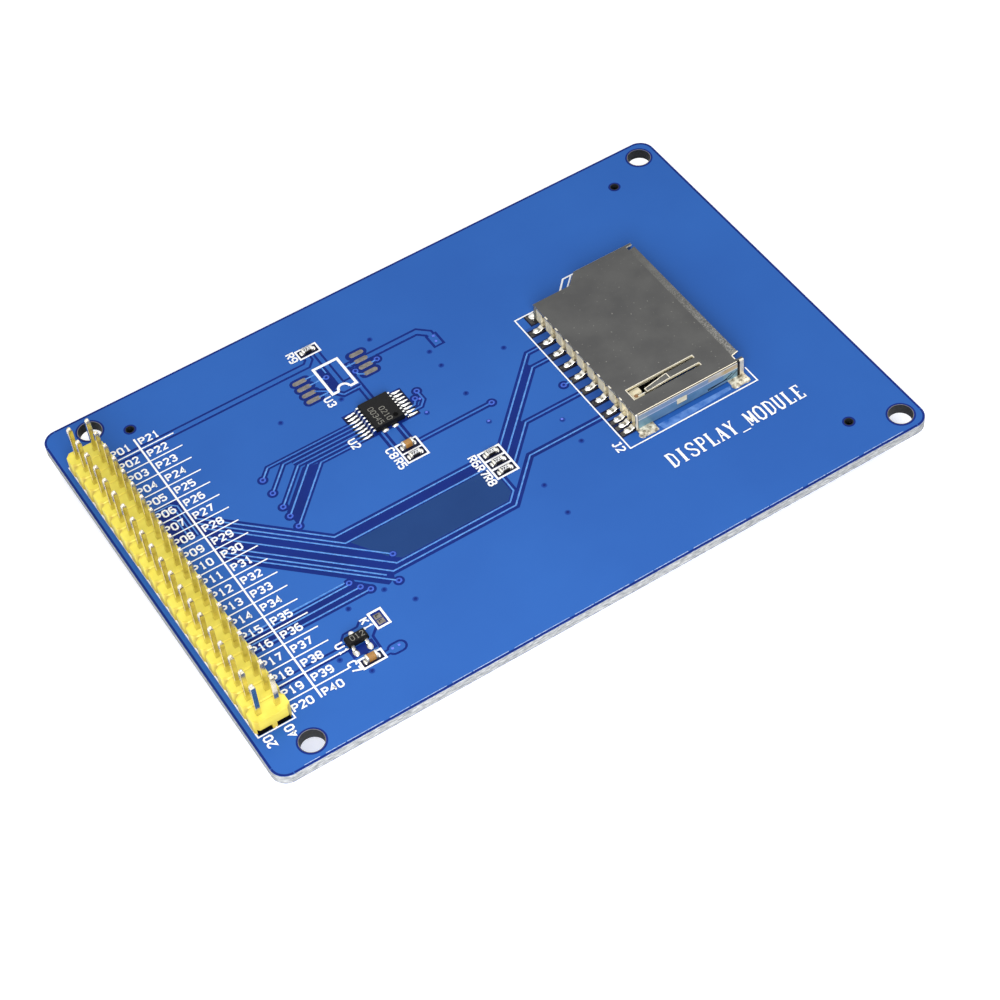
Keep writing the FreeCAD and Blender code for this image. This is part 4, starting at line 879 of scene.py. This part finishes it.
for face in cover.data.polygons:
    heights = [cover.data.vertices[i].co.z / MM - TOP for i in face.vertices]
    low, high = min(heights), max(heights)
    x, y = face.center.x / MM, face.center.y / MM
    by_arm = 17.4 < x < 28.0 and -11.0 < y < -7.6
    if abs(face.normal.z) < 0.5 and high - low > 0.45 and not by_arm:
        on_near_wall_face = face.normal.y < -0.9 and y < -12.0 and high - low > 1.0
        face.material_index = NEAR_WALL if on_near_wall_face else SIDE_WALL
    elif high < 0.5:
        face.material_index = FOOT
    elif abs(face.normal.z) < 0.995 and face.normal.y < -0.05 and y < -11.8 and low > 2.0:
        face.material_index = NEAR_WALL
    elif abs(face.normal.z) < 0.93 and face.normal.y > 0.3 and low > 2.0 and not by_arm:
        face.material_index = SIDE_WALL
    elif abs(face.normal.z) < 0.93 and low > 2.0 or by_arm and face.normal.z < 0.9:
        face.material_index = SHEARED_LIT
    elif 0.9 < face.normal.z < 0.995 and by_arm:
        face.material_index = FINGER
    elif face.normal.z > 0.5 and x > 32.0:
        face.material_index = LIP
# Painted highlight: thin bright strips along the sheared edges of the arm, the finger and the lip.
edge_highlight_finish = surface("painted_edge_highlight", "FBF4E2", "E4D9BC", metal=0.1, rough=0.35, blotch=1500)
edge_highlights = [lane([(17.52, -9.85), (17.52, -7.76), (27.86, -7.76), (27.86, -8.3)], 0.11),
         lane([(23.4, -9.31), (27.86, -9.31)], 0.11), lane([(27.88, -9.36), (27.88, -9.85)], 0.11),
         lane([(23.36, -9.32), (23.36, -8.36)], 0.13)]
printed("arm_edge_highlights", edge_highlights, cover_height + 0.003, 0.02, edge_highlight_finish, "cover_steel", rise=0.012, drift=0.0)
tip_drop = -0.55
finger_edges = [[(23.3, -9.38), (23.3, -9.27), (19.9, -9.07, tip_drop), (19.9, -9.18, tip_drop)],
                [(23.3, -8.32), (23.3, -8.43), (19.9, -8.63, tip_drop), (19.9, -8.52, tip_drop)],
                [(20.0, -9.16, tip_drop), (20.0, -8.54, tip_drop), (19.9, -8.54, tip_drop),
                 (19.9, -9.16, tip_drop)]]
printed("finger_edge_highlights", finger_edges, cover_height + 0.015, 0.015, edge_highlight_finish, "cover_steel", rise=0.008,
        drift=0.0)
lip_end = [[(32.0, -10.93), (32.88, -10.93, 0.29), (32.88, -10.76, 0.29), (32.0, -10.76)],
           lane([(31.94, -10.85), (31.94, -11.6)], 0.15)]
printed("lip_edge_highlights", lip_end, cover_height + 0.015, 0.015, edge_highlight_finish, "cover_steel", rise=0.01, drift=0.0)


def on_near_wall(piece):
    """Stands a piece that was drawn flat up against the cover's near wall."""
    piece.data.transform(Matrix.Rotation(math.radians(90), 4, "X"))
    return piece


wall_face = 12.2
slit_shade = [lane([(27.25, TOP + 0.42), (29.9, TOP + 0.72), (31.1, TOP + 1.35)], 0.16)]
on_near_wall(printed("slit_in_wall", slit_shade, 0.002, 0.01,
                     surface("slit_shade", "060504", "0A0908", rough=0.8, gloss=0.03),
                     "cover_steel", rise=0.004, drift=0.0, face=wall_face))


# The socket's inside: a cream moulded base with a notch for each contact, plated contacts, and the latch's
# white slider, coil spring and bent wire. Deep under the arm's window all of it lies in the dark.
def all_of(tree, shares):
    """The product of several shares."""
    product = shares[0]
    for share in shares[1:]:
        product = reckon(tree, "MULTIPLY", product, share)
    return product


window_shade, entry, leave = new_group("shade_under_window", [], [("Mask", "NodeSocketFloat")])
axes = split_up(window_shade, own_place(window_shade))
within = [reckon(window_shade, operation, axes[axis], limit * MM) for axis, operation, limit in (
    ("X", "GREATER_THAN", 19.42), ("X", "LESS_THAN", 27.9), ("Y", "GREATER_THAN", -11.6),
    ("Y", "LESS_THAN", -6.4), ("Z", "LESS_THAN", TOP + 2.25))]
feed(window_shade, all_of(window_shade, within), leave.inputs["Mask"])


def shaded_in_window(tree, colour, shader):
    """Darkens what lies deep in the socket under the arm's window."""
    shade = use_group(tree, window_shade)
    feed(tree, mixed(tree, shade.outputs["Mask"], colour, paint("0D0B09")), shader.inputs["Base Color"])


cream_finish, tree, shader, tone = toned("cream_moulding", "EEE5C9", "D5CAA4", rough=0.48, amount=0.8,
                                         grit=2600, depth=0.3)
axes = split_up(tree, own_place(tree))
from_slot = reckon(tree, "PINGPONG", axes["Y"], contact_pitch / 2 * MM)
slot_shade = all_of(tree, [share_of(tree, from_slot, 0.58 * MM, 0.6 * MM, 1.0, 0.0),
                           share_of(tree, axes["X"], 16.46 * MM, 16.62 * MM),
                           reckon(tree, "LESS_THAN", axes["X"], 16.95 * MM),
                           share_of(tree, axes["Z"], (TOP + 1.15) * MM, (TOP + 1.3) * MM, 0.4)])
shaded_in_window(tree, mixed(tree, slot_shade, tone, paint("38240E")), shader)
softened("card_socket_base", 0.03, 1, cream_finish)
printed("crown_tabs", [box(16.04, 16.26, y - 1.4, y - 0.85) for y in contact_y[:8]], cover_height, 0.03,
        surface("cream_tab", "F0EAD8", "D8CFB6", rough=0.5), "socket_plastic", rise=0.05, drift=0.0)
printed("pivot_hole", [disc(18.35, -8.95, 0.3, 16)], 2.303, 0.03,
        surface("shade_in_pivot", "9C7446", "7A5630", rough=0.5), "socket_plastic", drift=0.0)
contact_finish, tree, shader, tone = toned("bright_contact", "F3F0E8", "CFC8B8", metal=1.0, rough=0.2)
shaded_in_window(tree, tone, shader)
for node in ("card_contacts", "switch_contacts"):
    softened(node, 0.03, 1, contact_finish)
wire_finish = surface("bright_wire", "D8D8D4", "A8A8A2", metal=1.0, rough=0.22)
put_on(nodes["cam_wire"], wire_finish)
spring = softened("slider_spring", 0.02, 1, wire_finish)
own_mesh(spring)
slider_finish = surface("white_slider", "EDEBE2", "DEDACB", rough=0.4, blotch=500)
put_on(nodes["card_slider"], slider_finish)


# Solder on the socket: a low, wetted mound over each tail and each foot of the cover.
# Each mound starts as a ball, flattened and pulled out along its tail.
def mound(x, y, length, width, height):
    """A flattened ball of solder that stands on the board."""
    bpy.ops.mesh.primitive_uv_sphere_add(segments=20, ring_count=10, radius=MM, location=at(x, y, TOP))
    piece = bpy.context.object
    piece.scale = (length / 2, width / 2, height)
    bpy.ops.object.transform_apply(location=True, rotation=True, scale=True)
    edit_all()
    bpy.ops.mesh.bisect(plane_co=at(x, y, TOP), plane_no=(0, 0, 1), clear_inner=True, use_fill=True)
    edit_done()
    bpy.ops.object.shade_smooth()
    return piece


mounds = [mound(15.35, y, 1.5, 0.8, 0.26) for y in contact_y]
mounds += [mound(30.8 + 0.8 * i, 14.9, 1.1, 0.9, 0.28) for i in range(3)] + [mound(16.3, 12.6, 1.3, 1.1, 0.3)]
fitted(merged(mounds), "socket_solder", solder_finish)
fillets = [mound(16.5 + 0.75 * i, -13.2 + 0.12 * (i % 2), 1.2, 1.1, 0.27 - 0.02 * i) for i in range(3)]
fillets += [mound(30.9 + 0.8 * i, -13.25 + 0.1 * (i % 2), 1.25, 1.05, 0.25 + 0.02 * i) for i in range(3)]
fitted(merged(fillets), "foot_solder", foot_finish)
# Painted reflection: a pale streaky patch on the mask in front of the near wall, for the wall mirrored in the
# gloss.
wall_reflection_finish = surface("painted_wall_reflection", "6C96D8", MASK_BLUE, rough=0.3, blotch=520, amount=1.0, grit=1500,
                      depth=0.6, gloss=0.2)
wall_reflection_outline = [(18.9, -12.75), (30.2, -12.75), (30.0, -13.35), (26.0, -13.6), (22.0, -13.9), (19.3, -13.95)]
printed("painted_reflection_by_the_wall", [wall_reflection_outline], 0.02, 0.12, wall_reflection_finish, rise=0.006)


# The two chips: black moulded packages with a fine sparkle, on tinned gull-wing legs.
# Each leg's foot is wetted by a small mound of solder on its pad.
package_finish = surface("black_package", "0B0B0C", "060607", rough=0.5, grit=6000, depth=0.5, gloss=0.16)
leg_finish = surface("tinned_leg", "F4F4F0", "D0CFC8", metal=1.0, rough=0.2)
laser_finish = surface("laser_mark", "8E8C84", "6E6C66", rough=0.7, blotch=300, gloss=0.1)
softened("touch_chip_body", 0.05, 2, package_finish)
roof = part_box("touch_chip_body")[1].z / MM - TOP + 0.003
printed("chip_pin_mark", [disc(-7.9, 7.75, 0.34)], roof, 0.04,
        surface("dished_mark", "060606", "040404", rough=0.7, blotch=300, gloss=0.05),
        "package_black", rise=0.002)
numbers = words("0210", -9.2, 9.95, 0.72, -90, 0.1) + words("00345", -10.5, 10.6, 0.72, -90, 0.1)
printed("chip_numbers", numbers, roof, 0.01, laser_finish, "package_black", rise=0.002)
softened("regulator_body", 0.05, 2, package_finish)
printed("regulator_numbers", words("012", -30.75, -20.35, 0.72, 0, 0.1),
        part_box("regulator_body")[1].z / MM - TOP + 0.003, 0.01, laser_finish, "package_black", rise=0.002)
for node in ("touch_chip_legs", "regulator_legs"):
    put_on(nodes[node], leg_finish)
leg_pitch = 0.65
feet = [mound((near + far) / 2, 9.45 + (i - 3.5) * leg_pitch, far - near, 0.36, 0.12)
        for near, far in ((-13.35, -11.8), (-6.55, -4.9)) for i in range(8)]
feet += [mound(-10.0, 6.85, 1.0, 0.7, 0.3), mound(-8.5, 6.85, 1.0, 0.6, 0.26)]
feet += [mound(-30.95, -21.55, 0.85, 1.3, 0.3), mound(-29.05, -21.55, 0.85, 1.3, 0.3),
         mound(-30.0, -18.75, 0.8, 0.9, 0.2)]
fitted(merged(feet), "chip_solder", solder_finish)


# Chip resistors and capacitors: a ceramic block between two tinned ends, each end in its solder.
# The resistors carry plain digits on a black glaze, the capacitors are bare tan ceramic.
glaze_finish = surface("black_glaze", "1C1B1A", "141312", rough=0.28, blotch=800)
tan_finish = surface("tan_ceramic", "AC7C3C", "94682E", rough=0.45, grit=4000, depth=0.3)
end_finish = surface("tinned_end", "E2E0D8", "B8B4A8", metal=0.85, rough=0.3, blotch=1200, grit=3000,
                     depth=0.4)
for node, finish, slot in (("resistor_bodies", glaze_finish, "resistor_ceramic"),
                           ("capacitor_bodies", tan_finish, "capacitor_ceramic"),
                           ("resistor_caps", end_finish, "cap_metal"),
                           ("capacitor_caps", end_finish, "cap_metal")):
    softened(node, 0.05, 2, finish)
chip_places = [(-11.4, 25.0), (-8.95, 1.15), (-1.0, -4.4), (-1.0, -6.1), (-1.0, -7.8), (-8.95, 2.95),
               (-29.8, -23.35)]
ends = [mound(x + side * 0.94, y, 0.5, 0.8, 0.22) for x, y in chip_places for side in (-1, 1)]
fitted(merged(ends), "chip_part_solder", solder_finish)
digits = []
for x, y in chip_places[:5]:
    for i, digit in enumerate("220"):
        digits += [lane(turned(stroke, x - 0.42 + 0.32 * i, y - 0.12, 0.22, 0.48, 0), 0.09)
                   for stroke in letters[digit]]
chip_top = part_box("resistor_bodies")[1].z / MM - TOP
printed("resistor_digits", digits, chip_top + 0.004, 0.01, ink_finish, "resistor_ceramic", rise=0.004)


# The display below the board: a white moulded frame round the glasses, held by foam tape,
# with the clear touch panel in front and two amber tails folded round its end.
frame_finish, tree, shader, tone = toned("white_frame_pegs_painted_shade", "E9E9E4", "DCDCD6", rough=0.45,
                                         blotch=300, grit=2500, depth=0.2)
# Painted shade: the white frame's pegs are near-black where they reach up into the board's locating holes.
peg_in_hole = reckon(tree, "GREATER_THAN", split_up(tree, own_place(tree))["Z"], (TOP - THICK + 0.05) * MM)
feed(tree, mixed(tree, peg_in_hole, tone, paint("0C0D10")), shader.inputs["Base Color"])
foam_finish = surface("dark_foam", "2A2A2B", "1C1C1D", rough=0.9, blotch=2500, grit=3500, depth=0.9)
tape_finish = surface("black_tape", "161617", "1F1F20", rough=0.55, blotch=700)
amber_finish, tree, shader, tone = toned("amber_film_with_conductors", "B8742A", "9C5E1E", rough=0.28,
                                         blotch=400, grit=1500, depth=0.1)
from_gap = reckon(tree, "PINGPONG", split_up(tree, own_place(tree))["Y"], 0.4 * MM)
conductor = share_of(tree, from_gap, 0.17 * MM, 0.23 * MM)
feed(tree, mixed(tree, conductor, tone, paint("D49A48")), shader.inputs["Base Color"])
white_sheet_finish = surface("white_sheet", "F2F2F0", "E6E6E2", rough=0.6, blotch=300)
lamp_finish = surface("lamp_phosphor", "F0E48C", "E4D470", rough=0.4)
silicon_finish = surface("polished_silicon", "2C2C33", "202026", rough=0.15, blotch=500)
polariser_finish = surface("smoke_polariser", "17191C", "121416", rough=0.12, blotch=60, depth=0.02)


def clear_finish(name, colour, bending, rough, grit, depth):
    """A clear material, faintly uneven."""
    finish, tree, shader = new_finish(name)
    relief = use_group(tree, grain, Scale=grit, Depth=depth)
    feed(tree, relief.outputs["Normal"], shader.inputs["Normal"])
    for title, value in (("Base Color", paint(colour)), ("Transmission Weight", 1.0), ("IOR", bending),
                         ("Roughness", rough)):
        shader.inputs[title].default_value = value
    return finish


glass_finish = clear_finish("clear_glass", "E8F2F0", 1.5, 0.03, 200.0, 0.004)
film_finish = clear_finish("touch_film", "DCE2E4", 1.45, 0.12, 5200.0, 0.03)
for finish, names in ((frame_finish, ["backlight_frame"]), (foam_finish, ["foam_tape"]),
                      (tape_finish, ["touch_tape", "touch_gasket"]),
                      (amber_finish, ["display_flex", "touch_flex", "led_strip"]),
                      (white_sheet_finish, ["prism_sheet", "diffuser_sheet", "reflector_sheet"]),
                      (glass_finish, ["light_guide", "lcd_front_glass", "lcd_rear_glass", "touch_glass"]),
                      (polariser_finish, ["front_polariser", "rear_polariser"]),
                      (lamp_finish, ["backlight_leds"]), (silicon_finish, ["driver_chip"]),
                      (film_finish, ["touch_film"])):
    for name in names:
        put_on(nodes[name], finish)

silver_finish = surface("silver_trace", "B9BCBE", "96999C", metal=0.6, rough=0.4, blotch=1500)
traces = frame_lines(-35.9, 37.6, -25.95, 25.95, 0.32) + frame_lines(-35.2, 36.9, -25.3, 25.3, 0.22)
printed("touch_traces", traces, 0.0, 0.02, silver_finish, "adhesive", rise=0.002, step=0.0001, drift=0.0,
        face=0.19, way=-1)
